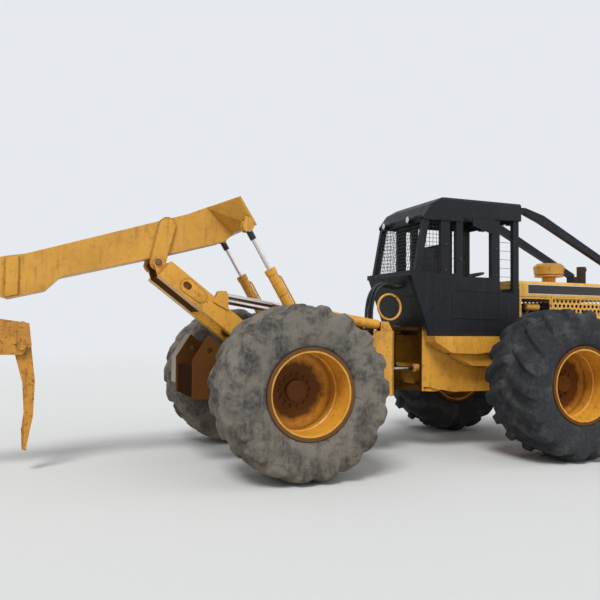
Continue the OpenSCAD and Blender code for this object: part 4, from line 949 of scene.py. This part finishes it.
class SKIDDER_OT_boom_parts(bpy.types.Operator):
    """Adds the welds, rims, feed tubes and rod ends of the arch and boom"""
    bl_idname = "skidder.boom_parts"
    bl_label = "Boom parts"

    def execute(self, context):
        base, eye = Vector((-1270, 1310)), Vector((-2000, 2550))
        along = (eye - base).normalized()
        out = Vector((along.y, -along.x))
        slot = Vector((-2600, 1910))
        slot_end = slot + (Vector((-1600, 1130)) - Vector((-2810, 2065))).normalized() * 185
        circle = [(math.cos(a), math.sin(a)) for a in (2 * math.pi * k / 20 for k in range(20))]
        tubes, ends, welds, rims, arch_welds = [], [], [], [], []
        for side in (-1, 1):
            y = 540 * side
            route = [base + along * s + out * n
                     for s, n in ((118, 58), (128, 70), (150, 76), (780, 76), (802, 70), (814, 58))]
            tubes.append(swept([at(p.x, y, p.y) for p in route], 0.009, 10))
            for s in (300, 620):
                clamp = base + along * s
                tubes.append(bead([at(clamp.x + CLAMP_R * out.x * c, y + CLAMP_R * n,
                                      clamp.y + CLAMP_R * out.y * c)
                                   for c, n in circle], 5))
            neck, tip = eye - along * 150, eye - along * 36
            ends.append(swept([at(neck.x, y, neck.y), at(tip.x, y, tip.y)], 0.035, 20))
            lug = link_outline((-2790, 2560), (-2885, 2158), 87, 80)
            welds.append(bead([at(x, side * 224.5, z) for x, z in lug], 4))
            for seam in (((-4370, 1757), (-4370, 2143)), ((-4250, 2163), (-4250, 1787))):
                welds.append(bead([at(x, side * 216, z) for x, z in seam], 5, closed=False))
            corners = [(-2345, 200, 2787), (-2092, 594, 2861), (-1911, 594, 2570)]
            rims.append(swept([at(x, side * w, z) for x, w, z in corners], 0.007, 8))
            arch_welds.append(bead([at(x, side * 404, z)
                                    for x, z in link_outline(tuple(slot), tuple(slot_end), 76, 61)], 3.5))
        for name, body, parts, finish in (("boom_feed_tubes", "boom_barrels", tubes, "cylinder_enamel"),
                                          ("boom_rod_ends", "boom_rods", ends, "black_plastic"),
                                          ("boom_welds", "boom_body", welds, "grapple_enamel"),
                                          ("boom_head_rims", "boom_body", rims, "boom_enamel"),
                                          ("arch_welds", "arch_body", arch_welds, "grapple_enamel")):
            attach(mesh_piece(name, *joined(parts), finish_of(finish)), body)
        for side, word in SIDES:
            bolt_group(f"boom_pin_caps_{word}", "arch_body", [at(-2885, side * 270, 2158)], (0, side, 0), 58, 14)
            bolt_group(f"arch_pin_caps_{word}", "rear_body", [at(-1600, side * 485, 1130)], (0, side, 0), 80, 16)
        return {"FINISHED"}


class SKIDDER_OT_frame_parts(bpy.types.Operator):
    """Hangs the coiled hose on its hook and bolts the hinge"""
    bl_idname = "skidder.frame_parts"
    bl_label = "Frame parts"

    def execute(self, context):
        turns, steps = [], 60
        for k in range(steps + 1):
            share = k / steps
            a = 4 * math.pi * share + 1.2
            turns.append(at(-189 + 152 * math.cos(a) + 5 * share, -408 + 26 * share + 8 * math.sin(a),
                            1734 + 150 * math.sin(a)))
        coil = mesh_piece("coiled_hose", *swept(turns, 0.0125, 12), finish_of("yellow_hose"))
        bend = [at(x, -396, z) for x, z in ((118, 1868), (0, 1872), (-84, 1872), (-100, 1836))]
        hook = swept(smooth_path(bend, 5), 0.007, 10)
        hanger = mesh_piece("coil_hook", *hook, finish_of("black_plastic"))
        for piece in (coil, hanger):
            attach(piece, "front_body")
        ring = [at(80 + 82 * math.cos(a), 82 * math.sin(a), 1500)
                for a in (math.pi * (k + 0.5) / 3 for k in range(6))]
        bolt_group("hinge_bolts", "front_body", ring, (0, 0, 1), 30, 16)
        return {"FINISHED"}


class SKIDDER_OT_hoses(bpy.types.Operator):
    """Runs the hoses across the articulation"""
    bl_idname = "skidder.hoses"
    bl_label = "Hoses"

    def execute(self, context):
        route = ((20, 1990), (-60, 1992), (-160, 2010), (-250, 1960), (-310, 1860), (-340, 1720), (-345, 1580),
                 (-345, 1451))
        for i in range(5):
            y = -100 - 42 * i
            bulge = (0, 18, -14, 26, 6)[i]
            points = []
            for k, (x, z) in enumerate(route):
                loose = 1 if 0 < k < len(route) - 1 else 0
                points.append(at(x - loose * bulge, y + loose * 6 * math.sin(2.1 * i + k),
                                 z + loose * 0.6 * bulge))
            path = smooth_path(points, 6)
            tube = swept(path, lambda t: 0.021 if t < 0.06 or t > 0.95 else 0.016, 14)
            piece = mesh_piece(f"hose_{i + 1}", *tube, finish_of("hose_rubber"))
            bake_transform(piece)
            if i == 0:
                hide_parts("hoses")
        return {"FINISHED"}


class SKIDDER_PT_panel(bpy.types.Panel):
    """Lists the operators and sizes in the 3D view's sidebar"""
    bl_label = "Skidder"
    bl_idname = "SKIDDER_PT_panel"
    bl_space_type = "VIEW_3D"
    bl_region_type = "UI"
    bl_category = "Skidder"

    def draw(self, context):
        layout = self.layout
        for operator in OPERATORS:
            layout.operator(operator.bl_idname)
        for name in SETTINGS:
            group = getattr(context.scene, name)
            box = layout.box()
            for prop in group.bl_rna.properties:
                if prop.identifier not in ("rna_type", "name"):
                    box.prop(group, prop.identifier)


SETTINGS = {"skidder_tyres": TyreSizes, "skidder_seat": SeatSizes, "skidder_screens": ScreenSizes,
            "skidder_stage": StageColours}
OPERATORS = (SKIDDER_OT_stage, SKIDDER_OT_finishes, SKIDDER_OT_tyres, SKIDDER_OT_cab_screens, SKIDDER_OT_seat,
             SKIDDER_OT_cab_parts, SKIDDER_OT_lamps, SKIDDER_OT_hood_parts, SKIDDER_OT_boom_parts,
             SKIDDER_OT_frame_parts, SKIDDER_OT_hoses)


def register():
    for group in SETTINGS.values():
        bpy.utils.register_class(group)
    for name, group in SETTINGS.items():
        setattr(bpy.types.Scene, name, bpy.props.PointerProperty(type=group))
    for operator in OPERATORS:
        bpy.utils.register_class(operator)
    bpy.utils.register_class(SKIDDER_PT_panel)


def unregister():
    bpy.utils.unregister_class(SKIDDER_PT_panel)
    for operator in reversed(OPERATORS):
        bpy.utils.unregister_class(operator)
    for name, group in SETTINGS.items():
        delattr(bpy.types.Scene, name)
        bpy.utils.unregister_class(group)


def main():
    register()
    for operator in OPERATORS:
        family, name = operator.bl_idname.split(".")
        getattr(getattr(bpy.ops, family), name)()


if __name__ == "__main__":
    main()
